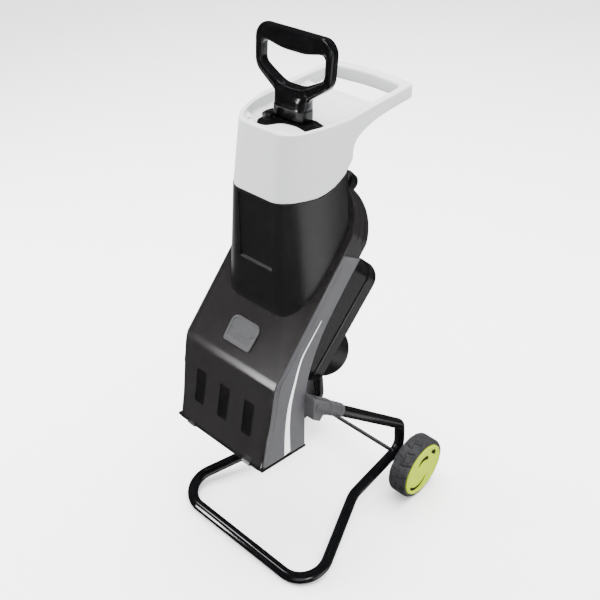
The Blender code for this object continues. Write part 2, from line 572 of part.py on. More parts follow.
# seam between chute and hopper, seen from the side
seam = [(-0.080, 0.8515), (0.0, 0.8525)] + bez((0.0, 0.8525), (0.030, 0.8560), (0.055, 0.8700), (0.0800, 0.9000), 4)[1:]
zs = [0.560, 0.620, 0.700, 0.780, 0.860, 0.930]
feed_chute = loft("feed_chute", [chute_ring(z) for z in zs], ROOT)
below = box("below_slope", (-0.3, -0.5, -0.5), (0.3, 0.5, HOUSE_D + GAP), SLOPE, cut=True)
boolean(feed_chute, below)
above = plate("above_seam", [(y, z - 0.0006) for y, z in [(-0.15, 0.8515)] + seam[1:] + [(0.15, 0.96)]] + [(0.15, 1.2), (-0.15, 1.2)], -0.2, 0.2, SIDE, cut=True)
boolean(feed_chute, above)
core = loft("chute_core", [chute_ring(z, WALL) for z in [0.540, 0.620, 0.700, 0.780, 0.860, 0.940]], ROOT, cut=True)
boolean(feed_chute, core)
# shallow panel on the front facet, with a sloping ledge at its foot
yr = -0.0655
panel_cut = plate("facet", [(-0.10, 0.716), (-0.10, 0.8450), (yr + 0.0022, 0.8450), (yr + 0.0014, 0.716), (yr - 0.010, 0.700)],
                  -0.0405, 0.0405, SIDE, cut=True)
boolean(feed_chute, panel_cut)
finish(feed_chute, M_BLACK)


# ================================================================= hopper with its rear carrying handle
def hopper_ring(z, off=0.0, n=7):
    k = (0.975 - z) / 0.125                       # 0 at the rim, 1 at the lower edge
    yf = -0.0460 - 0.0200 * k + off
    f = 0.036 + 0.002 * k - off * 0.4
    w = 0.1005 + 0.0005 * k - off
    ys = 0.066 - 0.014 * k
    right = [(f, yf)] + bez((f, yf), (f + 0.028, yf), (w - 0.013 + 0.003 * k, -0.016 - 0.016 * k + off * 0.5), (w, ys), n)[1:]
    yb = 0.2560 - off
    right += [(w - 0.001, 0.160), (w - 0.0025, yb - 0.012)] + arc(w - 0.0115, yb - 0.012, 0.009, 0, 90, 3)[1:] + [(0.060, yb + 0.0010), (0.020, yb + 0.0055)]
    left = [(-x, y) for x, y in reversed(right)]
    return [(x, y, z) for x, y in right + left]


def rim(y):
    return RIM_Z0 + RIM_K * y


hopper = loft("hopper", [hopper_ring(z) for z in (0.835, 0.880, 0.925, 1.010)], ROOT)
prof = seam + bez((0.0820, 0.9030), (0.0790, 0.9330), (0.090, 0.9440), (0.1513, 0.9574), 5) + \
       [(0.270, 0.9640), (0.270, rim(0.270)), (-0.080, rim(-0.080))]
side_mass = plate("hopper_side", prof, -0.12, 0.12, SIDE, cut=True)
boolean(hopper, side_mass, 'INTERSECT')
# the hollow below the deck, round the chute's throat
hollow = loft("hopper_hollow", [hopper_ring(z, 0.0032) for z in (0.830, 0.925, 0.9510)], ROOT, cut=True)
prof_in = [(-0.080, 0.80), (0.0770, 0.80), (0.0770, 0.9300), (0.0600, 0.9505), (-0.080, 0.9505)]
hmass = plate("hollow_side", prof_in, -0.12, 0.12, SIDE, cut=True)
boolean(hollow, hmass, 'INTERSECT')
boolean(hopper, hollow)
# bowl behind the front deck: a wavy step down from the deck, then a floor that climbs to the rear lip
deck_edge = [(-0.0855, 0.0160), (-0.0800, 0.0000), (-0.0580, -0.0085), (-0.0415, -0.0215), (-0.0240, -0.0300), (-0.0060, -0.0260),
             (0.0030, -0.0100), (0.0120, -0.0010), (0.0335, 0.0036), (0.0530, 0.0010), (0.0700, -0.0040), (0.0800, -0.0010), (0.0855, 0.0080)]
bowl_plan = deck_edge + [(0.0855, 0.1700), (-0.0855, 0.1700)]
bowl = plate("bowl", bowl_plan, 0.90, 1.10, ROOT, cut=True)
FLOOR_Z = 0.9555
bowl_side = [(-0.06, FLOOR_Z), (0.0500, FLOOR_Z), (0.1560, 0.9700), (0.1563, 0.9722), (0.1750, 0.9722), (0.1750, 1.2), (-0.06, 1.2)]
boolean(bowl, plate("bowl_side", bowl_side, -0.12, 0.12, SIDE, cut=True), 'INTERSECT')
# the front deck lies a little below the rim
deck = [(-0.0848, 0.0310), (-0.0848, -0.0700), (0.0848, -0.0700), (0.0848, 0.0310)]
boolean(bowl, plate("deck", deck, 0.9680, 1.15, ROOT, cut=True), 'UNION')
boolean(bowl, loft("rim_room", [hopper_ring(z, 0.0095) for z in (0.925, 1.020)], ROOT, cut=True), 'INTERSECT')
boolean(hopper, bowl)
# throat for the plunger
boolean(hopper, box("throat_cut", (-0.0560, 0.0075, 0.80), (0.0560, 0.0465, 1.05), ROOT, cut=True, bevel=0.008, segs=2, only_z=True))
# hand opening in front of the rear bar
grip = fillet([(-0.0850, 0.1692), (0.0850, 0.1692), (0.0830, 0.2310), (0.0200, 0.2385), (-0.0200, 0.2385), (-0.0830, 0.2310)],
              [0, 0, 0.012, 0.03, 0.03, 0.012], 2)
boolean(hopper, plate("grip_gap", grip, 0.90, 1.05, ROOT, cut=True))
# small round hole in the deck's left front
boolean(hopper, cyl("tether_hole", 0.0030, 0.0030, 0.9590, 1.0, ROOT, (-0.0475, -0.0250), segs=12, cut=True))
finish(hopper, M_WHITE)

# ================================================================= plunger
P0 = 1.0


def pz(z):
    return z - P0


# grip: closed D, top bar straight, lower bar sagging to the neck
g_out = [(-0.0370, pz(0.9880)), (0.0370, pz(0.9880)), (0.0385, pz(1.0045)), (0.0860, pz(1.0370)), (0.0880, pz(1.1150)),
         (-0.0880, pz(1.1150)), (-0.0860, pz(1.0370)), (-0.0385, pz(1.0045))]
grip_out = fillet(g_out, [0, 0, 0.014, 0.028, 0.024, 0.024, 0.028, 0.014], 3)
grip_in = fillet([(-0.0715, pz(1.0482)), (-0.0240, pz(1.0240)), (0.0240, pz(1.0240)), (0.0715, pz(1.0482)), (0.0712, pz(1.0886)),
                  (0.0250, pz(1.0788)), (-0.0250, pz(1.0788)), (-0.0712, pz(1.0886))], [0.012, 0.05, 0.05, 0.012, 0.009, 0.06, 0.06, 0.009], 3)
PUSH_UP = empty("plunger_face", Matrix(((1, 0, 0, 0), (0, 0, -1, 0), (0, 1, 0, 0), (0, 0, 0, 1))), PUSH)
bpy.context.view_layer.update()
plunger_grip = plate("plunger_grip", grip_out, -0.0110, 0.0110, PUSH_UP, holes=(grip_in,))
bm = bmesh.new()
bm.from_mesh(plunger_grip.data)
rims = [e for e in bm.edges if len(e.link_faces) == 2 and e.link_faces[0].normal.dot(e.link_faces[1].normal) < 0.3
        and abs(e.verts[0].co.z - e.verts[1].co.z) < 1e-6 and e.verts[0].co.y > pz(1.012)]
bmesh.ops.bevel(bm, geom=rims, offset=0.0050, segments=1, profile=0.5, affect='EDGES')
bm.to_mesh(plunger_grip.data)
bm.free()
neck_rings = []
for z, a, b in ((pz(0.9670), 0.0375, 0.0175), (pz(0.9850), 0.0375, 0.0172), (pz(0.9990), 0.0370, 0.0160), (pz(1.0100), 0.0420, 0.0108)):
    neck_rings.append([(a * math.copysign(abs(math.cos(q)) ** 0.5, math.cos(q)), b * math.copysign(abs(math.sin(q)) ** 0.5, math.sin(q)), z)
                       for q in [2 * math.pi * i / 20 for i in range(20)]])
neck = loft("neck", neck_rings, PUSH, cut=True)
boolean(plunger_grip, neck, 'UNION')
finish(plunger_grip, M_GLOSS)

plate_out = [(-0.0600, 0.0290), (-0.0560, 0.0140), (-0.0440, 0.0040), (-0.0425, -0.0080), (-0.0350, -0.0195), (-0.0240, -0.0265), (-0.0085, -0.0240),
             (-0.0005, -0.0085), (0.0105, 0.0010), (0.0335, 0.0054), (0.0530, 0.0030), (0.0650, 0.0010), (0.0660, 0.0440), (0.0400, 0.0520), (-0.0400, 0.0520), (-0.0560, 0.0480)]
plunger_plate = plate("plunger_plate", plate_out, FLOOR_Z + GAP, 0.9640, ROOT)
shaft = box("plunger_shaft", (-0.0535, -0.0235, pz(0.8020)), (0.0535, 0.0090, pz(0.9600)), PUSH, cut=True, bevel=0.006, segs=1, only_z=True)
boolean(shaft, box("plate_top", (-0.2, -0.2, 0.9620), (0.2, 0.2, 1.1), ROOT, cut=True))
boolean(plunger_plate, shaft, 'UNION')
boss = cyl("plate_boss", 0.0088, 0.0080, 0.9600, 0.9770, ROOT, (-0.0290, 0.0035), segs=20, cut=True)
boolean(plunger_plate, boss, 'UNION')
finish(plunger_plate, M_GLOSS)

# ================================================================= locking knob
knob_prof = [(0.0, 0.0690), (0.0040, 0.0690), (0.0040, -0.0003), (0.0105, -0.0003), (0.0105, -0.0060), (0.0200, -0.0070),
             (0.0212, -0.0090), (0.0212, -0.0260), (0.0185, -0.0300), (0.0, -0.0310)]
knob = turned("locking_knob", knob_prof, SLOPE, Matrix.Translation((0, STUD_T, 0)), segs=30)
for k in range(5):
    a = math.radians(72 * k)
    boolean(knob, cyl("flute", 0.0065, 0.0065, -0.04, -0.0066, SLOPE, (0.0250 * math.cos(a), STUD_T + 0.0250 * math.sin(a)), segs=10, cut=True))
finish(knob, M_GLOSS)

# ================================================================= motor and drive casing
def casing(off, n):
    t0, t1 = MOTOR_BOT_T + off, MOTOR_TOP_T - off
    return fillet([(-(MOTOR_BOT_W - off), t0), (MOTOR_BOT_W - off, t0), (MOTOR_TOP_W - off, t1), (-(MOTOR_TOP_W - off), t1)],
                  [0.030 - off, 0.030 - off, 0.034 - off, 0.034 - off], n)


drive_casing = plate("drive_casing", casing(0.0, 4), -SEAM_N, -GAP, SLOPE, holes=(casing(WALL, 4),))
lower2 = plate("lower_body2", body_outline(0.0, -GAP, (0.30, 0.30)), -0.2, 0.2, SIDE, cut=True)
boolean(drive_casing, lower2)
finish(drive_casing, M_GLOSS)

motor_cover = plate("motor_cover", casing(-0.0025, 4), -BACK_N, -SEAM_N - GAP, SLOPE)
boolean(motor_cover, plate("cover_room", casing(WALL, 4), -BACK_N + WALL, -SEAM_N + 0.02, SLOPE, cut=True))
boolean(motor_cover, cyl("can_hole", CAN_R - 0.006, CAN_R - 0.006, -0.3, -0.05, SLOPE, (0, BELT_T), segs=40, cut=True))
# seats for the rocker, the reset button and the power inlet on the flat back
SW_T, RESET_T, INLET_T = -0.030, -0.075, -0.1040
boolean(motor_cover, box("rocker_hole", (-0.0405, SW_T - 0.0160, -0.3), (-0.0105, SW_T + 0.0160, -0.05), SLOPE, cut=True))
boolean(motor_cover, cyl("reset_hole", 0.0085, 0.0085, -0.3, -0.05, SLOPE, (-0.0255, RESET_T), segs=20, cut=True))
boolean(motor_cover, box("inlet_hole", (0.0120, -0.0700, -0.3), (0.0560, -0.0180, -0.05), SLOPE, cut=True))
finish(motor_cover, M_GLOSS)

end_cap = turned("motor_end_cap", [(CAN_R, -BACK_N - GAP), (CAN_R, -CAN_N + 0.026), (CAN_R - 0.005, -CAN_N + 0.012), (CAN_R - 0.018, -CAN_N + 0.002),
                                   (CAN_R - 0.034, -CAN_N), (0.0, -CAN_N), (0.0, -CAN_N + WALL), (CAN_R - 0.034, -CAN_N + WALL),
                                   (CAN_R - 0.020, -CAN_N + WALL + 0.003), (CAN_R - WALL - 0.004, -CAN_N + 0.016), (CAN_R - WALL, -CAN_N + 0.028),
                                   (CAN_R - WALL, -BACK_N - GAP)], MOTOR, segs=32)
for k in range(6):
    a = math.radians(60 * k + 30)
    c = box("cap_vent", (0.018, -0.0022, -0.3), (0.036, 0.0022, -CAN_N + 0.02), MOTOR, cut=True)
    c.matrix_basis = Matrix.Rotation(a, 4, 'Z')
    bpy.context.view_layer.update()
    boolean(end_cap, c)
finish(end_cap, M_GLOSS)

# ================================================================= switch, reset button, power inlet
rocker_frame = plate("switch_frame", fillet([(-0.0460, SW_T - 0.0215), (-0.0050, SW_T - 0.0215), (-0.0050, SW_T + 0.0215), (-0.0460, SW_T + 0.0215)], 0.004, 2),
                     -BACK_N - 0.0045, -BACK_N - GAP, SLOPE,
                     holes=([(-0.0400, SW_T - 0.0155), (-0.0110, SW_T - 0.0155), (-0.0110, SW_T + 0.0155), (-0.0400, SW_T + 0.0155)],))
finish(rocker_frame, M_BLACK, smooth=False)
ROCK = empty("rocker_axis", Matrix.Translation((0, SW_T, -BACK_N + 0.0005)), SLOPE)
bpy.context.view_layer.update()
rock_prof = [(-0.0138, -0.0100), (0.0, -0.0058), (0.0138, -0.0066), (0.0120, 0.0070), (-0.0120, 0.0070)]
ROCK_SIDE = empty("rocker_face", Matrix(((0, 0, 1, 0), (1, 0, 0, 0), (0, 1, 0, 0), (0, 0, 0, 1))), ROCK)
bpy.context.view_layer.update()
rocker = finish(plate("switch_rocker", rock_prof, -0.0394, -0.0116, ROCK_SIDE), M_RED, smooth=False)
switch_body = box("switch_body", (-0.0400, SW_T - 0.0155, -BACK_N + 0.0135), (-0.0110, SW_T + 0.0155, -BACK_N + 0.0330), SLOPE, bevel=0.001)
finish(switch_body, M_BLACK, smooth=False)

reset = turned("reset_button", [(0.0, 0.0120), (0.0062, 0.0120), (0.0062, 0.0), (0.0080, 0.0), (0.0080, -0.0070), (0.0070, -0.0082), (0.0, -0.0082)],
               SLOPE, Matrix.Translation((-0.0255, RESET_T, -BACK_N)), segs=20)
finish(reset, M_RED)
breaker = box("overload_breaker", (-0.0380, RESET_T - 0.0120, -BACK_N + 0.0165), (-0.0130, RESET_T + 0.0120, -BACK_N + 0.0420), SLOPE, bevel=0.001)
finish(breaker, M_BLACK, smooth=False)

inlet = plate("power_inlet", fillet([(0.0070, -0.0750), (0.0610, -0.0750), (0.0610, -0.0130), (0.0070, -0.0130)], 0.008, 3), -BACK_N - 0.020, -BACK_N - GAP, SLOPE)
boolean(inlet, box("inlet_back", (0.0125, -0.0695, -BACK_N - 0.01), (0.0555, -0.0185, -BACK_N + 0.030), SLOPE, cut=True), 'UNION')
boolean(inlet, cyl("inlet_mouth", 0.0185, 0.0185, -BACK_N - 0.03, -BACK_N + 0.022, SLOPE, (0.034, -0.044), segs=28, cut=True))
finish(inlet, M_BLACK)
for k, (dx, dt) in enumerate(((-0.0060, 0.0), (0.0060, 0.0), (0.0, 0.0080))):
    nm = ("inlet_pin_line", "inlet_pin_neutral", "inlet_pin_earth")[k]
    if k < 2:
        p = box(nm, (0.034 + dx - 0.0008, -0.044 + dt - 0.0031, -BACK_N - 0.012), (0.034 + dx + 0.0008, -0.044 + dt + 0.0031, -BACK_N + 0.0217), SLOPE)
    else:
        p = cyl(nm, 0.0023, 0.0023, -BACK_N - 0.013, -BACK_N + 0.0217, SLOPE, (0.034 + dx, -0.044 + dt), segs=12)
    finish(p, M_STEEL)

# ================================================================= cutter, spindle and drive
disc = cyl("cutter_disc", DISC_R, DISC_R, 0.0270, 0.0350, DISC, (0, 0), segs=48)
boolean(disc, cyl("disc_bore", 0.0088, 0.0088, 0.0, 0.06, DISC, (0, 0), segs=20, cut=True))
for s in (1, -1):
    slot = [(s * x, s * y) for x, y in ((0.028, 0.0165), (0.084, 0.0165), (0.084, 0.0260), (0.028, 0.0260))]
    boolean(disc, plate("chip_slot", slot, 0.0, 0.06, DISC, cut=True))
finish(disc, M_STEEL)
for k, s in ((1, 1), (2, -1)):
    bl = plate("blade_%d" % k, [(s * x, s * y) for x, y in ((0.027, -0.0130), (0.085, -0.0130), (0.085, 0.0150), (0.027, 0.0150))],
               0.0353, 0.0390, DISC)
    for j, x in enumerate((0.040, 0.072)):
        boolean(bl, cyl("blade_hole", 0.0036, 0.0036, 0.0, 0.06, DISC, (s * x, -s * 0.0010), segs=12, cut=True))
    finish(bl, M_STEEL, smooth=False)
    for j, x in enumerate((0.040, 0.072)):
        boolean(disc, cyl("screw_hole", 0.0036, 0.0036, 0.02, 0.04, DISC, (s * x, -s * 0.0010), segs=12, cut=True))
        sc = turned("blade_screw_%d" % (2 * (k - 1) + j + 1), [(0.0, 0.0440), (0.0040, 0.0440), (0.0060, 0.0425), (0.0060, 0.0393),
                    (0.0033, 0.0393), (0.0033, 0.0275), (0.0, 0.0275)],
                    DISC, Matrix.Translation((s * x, -s * 0.0010, 0)), segs=12)
        finish(sc, M_STEEL)
finish(disc, M_STEEL)

disc_bolt = turned("disc_bolt", [(0.0, 0.0460), (0.0090, 0.0460), (0.0100, 0.0445), (0.0100, 0.0380), (0.0150, 0.0378), (0.0150, 0.0353),
                                 (0.0048, 0.0353), (0.0048, 0.0150), (0.0, 0.0150)], DISC, segs=16)
finish(disc_bolt, M_STEEL)
spindle = turned("spindle", [(0.0051, 0.0347), (0.0085, 0.0347), (0.0085, 0.0267), (0.0200, 0.0267), (0.0200, 0.0200), (0.0085, 0.0180), (0.0085, -0.0820),
                             (0.0, -0.0820), (0.0, 0.0145), (0.0051, 0.0145)], DISC, segs=20)
finish(spindle, M_STEEL)

carrier = turned("bearing_carrier", [(0.0370, -0.0005), (0.0370, -0.0060), (0.0240, -0.0080), (0.0240, -0.0480), (0.0112, -0.0480), (0.0112, -0.0440),
                                     (0.0203, -0.0440), (0.0203, -0.0290), (0.0180, -0.0290), (0.0180, -0.0180), (0.0203, -0.0180), (0.0203, 0.0080),
                                     (0.0258, 0.0080), (0.0258, -0.0005)], DISC, segs=24)
finish(carrier, M_ALLOY)
for nm, a, b in (("front_bearing", -0.0177, -0.0050), ("rear_bearing", -0.0437, -0.0293)):
    finish(turned(nm, [(0.0200, b), (0.0200, a), (0.0088, a), (0.0088, b)], DISC, segs=28), M_STEEL)

PUL0, PUL1 = -0.0760, -0.0580
big = turned("disc_pulley", [(0.0110, PUL0), (PULLEY_BIG + 0.003, PUL0), (PULLEY_BIG + 0.003, PUL0 + 0.002), (PULLEY_BIG, PUL0 + 0.002), (PULLEY_BIG, PUL1 - 0.002),
                             (PULLEY_BIG + 0.003, PUL1 - 0.002), (PULLEY_BIG + 0.003, PUL1), (0.0150, PUL1), (0.0150, -0.0510), (0.0088, -0.0510), (0.0088, PUL0)], DISC, segs=32)
finish(big, M_ALLOY)
small = turned("motor_pulley", [(PULLEY_SMALL + 0.002, PUL0), (PULLEY_SMALL + 0.002, PUL0 + 0.002), (PULLEY_SMALL, PUL0 + 0.002), (PULLEY_SMALL, PUL1 - 0.002),
                                (PULLEY_SMALL + 0.002, PUL1 - 0.002), (PULLEY_SMALL + 0.002, PUL1), (0.0053, PUL1), (0.0053, PUL0)],
               MOTOR, segs=16)
finish(small, M_STEEL)


def belt_loop(off, n=8):
    """Outline of the belt round both pulleys, off from their grooves."""
    r1, r2, d = PULLEY_BIG + off, PULLEY_SMALL + off, DISC_T - BELT_T
    a = math.degrees(math.acos((r1 - r2) / d))
    # tangent points sit at 270 +- (180 - a) on the big pulley, measured from its centre
    big_arc = arc(0, DISC_T, r1, -90 + a, 270 - a, 2 * n)
    small_arc = arc(0, BELT_T, r2, 270 - a, 270 + a, n)
    return big_arc + small_arc


belt = plate("drive_belt", belt_loop(0.0030), PUL0 + 0.0028, PUL1 - 0.0028, SLOPE, holes=(belt_loop(0.0004),))
finish(belt, M_RUBBER)

# motor: mounting plate, two bearings, stator, rotor with its fan, brushes
mount_plate = plate("motor_plate", fillet([(-0.070, -0.2480), (0.070, -0.2480), (0.070, -0.1340), (-0.070, -0.1340)], 0.02, 3), -0.0850, -0.0810, SLOPE,
                    holes=(arc(0, BELT_T, 0.0112, 0, 345, 23),))
finish(mount_plate, M_ALLOY, smooth=False)
finish(turned("motor_front_bearing", [(0.0110, -0.0848), (0.0110, -0.0812), (0.0053, -0.0812), (0.0053, -0.0848)], MOTOR, segs=20), M_STEEL)
stator = turned("motor_stator", [(0.0440, -0.1900), (0.0440, -0.1200), (0.0290, -0.1200), (0.0290, -0.1900)], MOTOR, segs=28)
finish(stator, M_COPPER)
rotor = turned("motor_rotor", [(0.0, -0.2360), (0.0050, -0.2360), (0.0050, -0.2250), (0.0135, -0.2250), (0.0135, -0.2020), (0.0070, -0.2000), (0.0070, -0.1940),
                               (0.0275, -0.1900), (0.0275, -0.1200), (0.0070, -0.1160), (0.0070, -0.1130), (0.0050, -0.1130), (0.0050, -0.0560), (0.0, -0.0560)],
               MOTOR, segs=20)
finish(rotor, M_COPPER)
fan_hub = turned("motor_fan", [(0.0410, -0.1120), (0.0410, -0.1105), (0.0053, -0.1080), (0.0053, -0.1122)], MOTOR, segs=28)
for k in range(8):
    c = box("fan_vane", (0.014, -0.0008, -0.1107), (0.0405, 0.0008, -0.0950), MOTOR, cut=True)
    c.matrix_basis = Matrix.Rotation(math.radians(45 * k + 5), 4, 'Z')
    bpy.context.view_layer.update()
    boolean(fan_hub, c, 'UNION')
finish(fan_hub, M_BLACK, smooth=False)
tail = turned("motor_rear_bearing", [(0.0130, -0.2355), (0.0130, -0.2275), (0.0053, -0.2275), (0.0053, -0.2355)], MOTOR, segs=20)
finish(tail, M_STEEL)
for nm, s in (("right_brush", 1), ("left_brush", -1)):
    lo, hi = sorted((s * 0.0139, s * 0.0400))
    finish(box(nm, (lo, BELT_T - 0.004, -0.2190), (hi, BELT_T + 0.004, -0.2080), SLOPE), M_COPPER, smooth=False)
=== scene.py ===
# Looks of the garden shredder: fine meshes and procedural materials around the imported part,
# with a studio floor, soft lights and the camera at the photograph's angle. Metres, +Z up.
import bpy
import bmesh
import json
import math
import numpy as np
from mathutils import Matrix, Vector


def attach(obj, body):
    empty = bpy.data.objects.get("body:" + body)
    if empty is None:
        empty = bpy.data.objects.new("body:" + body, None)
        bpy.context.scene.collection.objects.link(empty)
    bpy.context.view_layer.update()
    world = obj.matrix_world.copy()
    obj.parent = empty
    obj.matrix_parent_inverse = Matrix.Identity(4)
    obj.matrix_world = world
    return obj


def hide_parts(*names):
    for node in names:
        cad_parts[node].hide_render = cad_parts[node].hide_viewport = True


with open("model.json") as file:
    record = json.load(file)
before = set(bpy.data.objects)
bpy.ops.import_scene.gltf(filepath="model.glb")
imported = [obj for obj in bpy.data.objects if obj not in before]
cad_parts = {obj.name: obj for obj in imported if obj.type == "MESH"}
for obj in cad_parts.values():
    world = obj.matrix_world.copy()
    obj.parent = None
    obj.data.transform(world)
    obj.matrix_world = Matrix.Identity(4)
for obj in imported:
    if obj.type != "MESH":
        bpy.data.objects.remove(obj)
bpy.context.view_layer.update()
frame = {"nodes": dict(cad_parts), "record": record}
NODES = frame["nodes"]
scene = bpy.context.scene

# ----------------------------------------------------------------- the machine's driving dimensions
MID_Y = 0.0665
SLOPE_DEG = 47.5
HUB_Y, HUB_Z = 0.0879, 0.7003
HOUSE_D = 0.060
HALF_W = 0.1215
PANEL_T = 0.0030
WALL = 0.0032
COVER_T = 0.0036
GAP = 0.0003
TUBE_R = 0.0125
ARM_X = 0.1295
ARM_T = -0.2905
ARM_N = 0.0735
ARM_DEG = 41.13
FOOT_Y = -0.149
FOOT_X = 0.2240
KNEE_LEG_Y = 0.094
NOSE_Y = 0.2600
HEEL_Y, HEEL_Z = 0.2680, 0.0800
WHEEL_R = 0.0761
AXLE_Y = 0.2492
AXLE_R = 0.005
TYRE_IN, TYRE_OUT = 0.1670, 0.2145
HUB_R = 0.0652
BELT_T = -0.1975
MOTOR_TOP_W, MOTOR_BOT_W = 0.0950, 0.0845
MOTOR_TOP_T, MOTOR_BOT_T = 0.0070, -0.2600
SEAM_N, BACK_N, CAN_N = 0.1030, 0.1390, 0.2640
CAN_R = 0.0600
RIM_Z0, RIM_K = 0.9745, 0.0655
PLUNGER_TILT = 4.0
STUD_T = 0.1290
PLUNGER_Y = 0.0365
LIP_Y, LIP_Z = -0.1865, 0.3445
DUCT_BACK, DUCT_BACK_Z = -0.0650, 0.3265
FRONT_N = -HOUSE_D
R_OUT = HALF_W - PANEL_T - GAP
ARCH_R = HALF_W + 0.0006
FLOOR_Z = 0.9555


def turn(deg, axis):
    return Matrix.Rotation(math.radians(deg), 4, axis)


# working frames, as matrices to the part's own frame
ROOT = Matrix.Translation((0, -MID_Y, 0))
SLOPE = ROOT @ Matrix.Translation((0, HUB_Y, HUB_Z)) @ turn(SLOPE_DEG, 'X')
SIDE = ROOT @ Matrix(((0, 0, 1, 0), (1, 0, 0, 0), (0, 1, 0, 0), (0, 0, 0, 1)))
PUSH = ROOT @ Matrix.Translation((0, PLUNGER_Y, 1.0)) @ turn(-PLUNGER_TILT, 'X')
PUSH_UP = PUSH @ Matrix(((1, 0, 0, 0), (0, 0, -1, 0), (0, 1, 0, 0), (0, 0, 0, 1)))
MOTOR = SLOPE @ Matrix.Translation((0, BELT_T, 0))
SL = math.radians(SLOPE_DEG)
UP_Y, UP_Z = math.cos(SL), math.sin(SL)
IN_Y, IN_Z = math.sin(SL), -math.cos(SL)
ARMF = ROOT @ Matrix.Translation((0, HUB_Y + ARM_T * UP_Y + ARM_N * IN_Y, HUB_Z + ARM_T * UP_Z + ARM_N * IN_Z)) @ turn(90 - ARM_DEG, 'X')


def sl(t, n):
    return (HUB_Y + t * UP_Y + n * IN_Y, HUB_Z + t * UP_Z + n * IN_Z)


# ----------------------------------------------------------------- shape helpers
def mesh_object(name, bm, mat, recalc=True):
    if recalc:
        bmesh.ops.recalc_face_normals(bm, faces=bm.faces)
    bmesh.ops.transform(bm, matrix=mat, verts=bm.verts)
    me = bpy.data.meshes.new(name)
    bm.to_mesh(me)
    bm.free()
    ob = bpy.data.objects.new(name, me)
    scene.collection.objects.link(ob)
    return ob


def baked(ob):
    """Applies an object's modifiers."""
    bpy.context.view_layer.update()
    dg = bpy.context.evaluated_depsgraph_get()
    me = bpy.data.meshes.new_from_object(ob.evaluated_get(dg))
    ob.modifiers.clear()
    ob.data = me
    return ob


def box(name, lo, hi, mat, bevel=0.0, segs=3, only_z=False):
    bm = bmesh.new()
    bmesh.ops.create_cube(bm, size=1.0)
    c = [(a + b) / 2 for a, b in zip(lo, hi)]
    s = [b - a for a, b in zip(lo, hi)]
    for v in bm.verts:
        v.co = Vector((c[0] + v.co.x * s[0], c[1] + v.co.y * s[1], c[2] + v.co.z * s[2]))
    if bevel > 0:
        edges = [e for e in bm.edges if not only_z or abs((e.verts[0].co - e.verts[1].co).z) > 1e-6]
        bmesh.ops.bevel(bm, geom=edges, offset=bevel, segments=segs, profile=0.5, affect='EDGES')
    return mesh_object(name, bm, mat)


def cyl(name, r1, r2, z0, z1, mat, centre=(0, 0), axis='Z', segs=64):
    bm = bmesh.new()
    bmesh.ops.create_cone(bm, cap_ends=True, cap_tris=False, segments=segs, radius1=r1, radius2=r2, depth=z1 - z0)
    rot = {'Z': Matrix.Identity(4), 'X': turn(90, 'Y'), 'Y': turn(-90, 'X')}[axis]
    mid = (z0 + z1) / 2
    off = {'Z': (centre[0], centre[1], mid), 'X': (mid, centre[0], centre[1]), 'Y': (centre[0], mid, centre[1])}[axis]
    bmesh.ops.transform(bm, matrix=Matrix.Translation(off) @ rot, verts=bm.verts)
    return mesh_object(name, bm, mat)


def turned(name, profile, mat, segs=96):
    """A closed (radius, height) profile turned about the Z axis."""
    bm = bmesh.new()
    n = len(profile)
    rows = []
    for k in range(segs):
        a = 2 * math.pi * k / segs
        rows.append([bm.verts.new((r * math.cos(a), r * math.sin(a), h)) for r, h in profile])
    for k in range(segs):
        p, q = rows[k], rows[(k + 1) % segs]
        for i in range(n):
            j = (i + 1) % n
            if profile[i][0] < 1e-6 and profile[j][0] < 1e-6:
                continue
            bm.faces.new((p[i], p[j], q[j], q[i]))
    bmesh.ops.remove_doubles(bm, verts=bm.verts, dist=0.00001)
    return mesh_object(name, bm, mat)


def plate(name, outline, z0, z1, mat, holes=()):
    """A flat outline, with holes, extruded from z0 to z1."""
    cu = bpy.data.curves.new(name, 'CURVE')
    cu.dimensions = '2D'
    cu.fill_mode = 'BOTH'
    cu.extrude = (z1 - z0) / 2
    for loop in (outline,) + tuple(holes):
        sp = cu.splines.new('POLY')
        sp.points.add(len(loop) - 1)
        for p, q in zip(sp.points, loop):
            p.co = (q[0], q[1], 0, 1)
        sp.use_cyclic_u = True
    tmp = bpy.data.objects.new(name + "_outline", cu)
    scene.collection.objects.link(tmp)
    bpy.context.view_layer.update()
    dg = bpy.context.evaluated_depsgraph_get()
    me = bpy.data.meshes.new_from_object(tmp.evaluated_get(dg))
    bm = bmesh.new()
    bm.from_mesh(me)
    bmesh.ops.remove_doubles(bm, verts=bm.verts, dist=0.00002)
    bmesh.ops.translate(bm, verts=bm.verts, vec=(0, 0, (z0 + z1) / 2))
    bmesh.ops.dissolve_limit(bm, angle_limit=math.radians(0.2), verts=bm.verts, edges=bm.edges)
    bpy.data.objects.remove(tmp, do_unlink=True)
    return mesh_object(name, bm, mat)


def tube(name, points, radius, mat, segs=40):
    """A round tube along points, on frames carried along the line, with flat ends."""
    bm = bmesh.new()
    pts = [Vector(p) for p in points]
    rows = []
    ref = None
    for i, p in enumerate(pts):
        d = (pts[min(i + 1, len(pts) - 1)] - pts[max(i - 1, 0)]).normalized()
        if ref is None:
            ref = d.orthogonal().normalized()
        ref = (ref - d * ref.dot(d)).normalized()
        bi = d.cross(ref)
        k = 1.0
        if 0 < i < len(pts) - 1:
            a, b = (p - pts[i - 1]).normalized(), (pts[i + 1] - p).normalized()
            k = 1.0 / max(0.6, math.cos(a.angle(b) / 2))
        rows.append([bm.verts.new(p + (ref * math.cos(t) + bi * math.sin(t)) * radius * k)
                     for t in [2 * math.pi * j / segs for j in range(segs)]])
    for p, q in zip(rows, rows[1:]):
        for j in range(segs):
            bm.faces.new((p[j], p[(j + 1) % segs], q[(j + 1) % segs], q[j]))
    bm.faces.new(rows[0])
    bm.faces.new(rows[-1])
    return mesh_object(name, bm, mat)


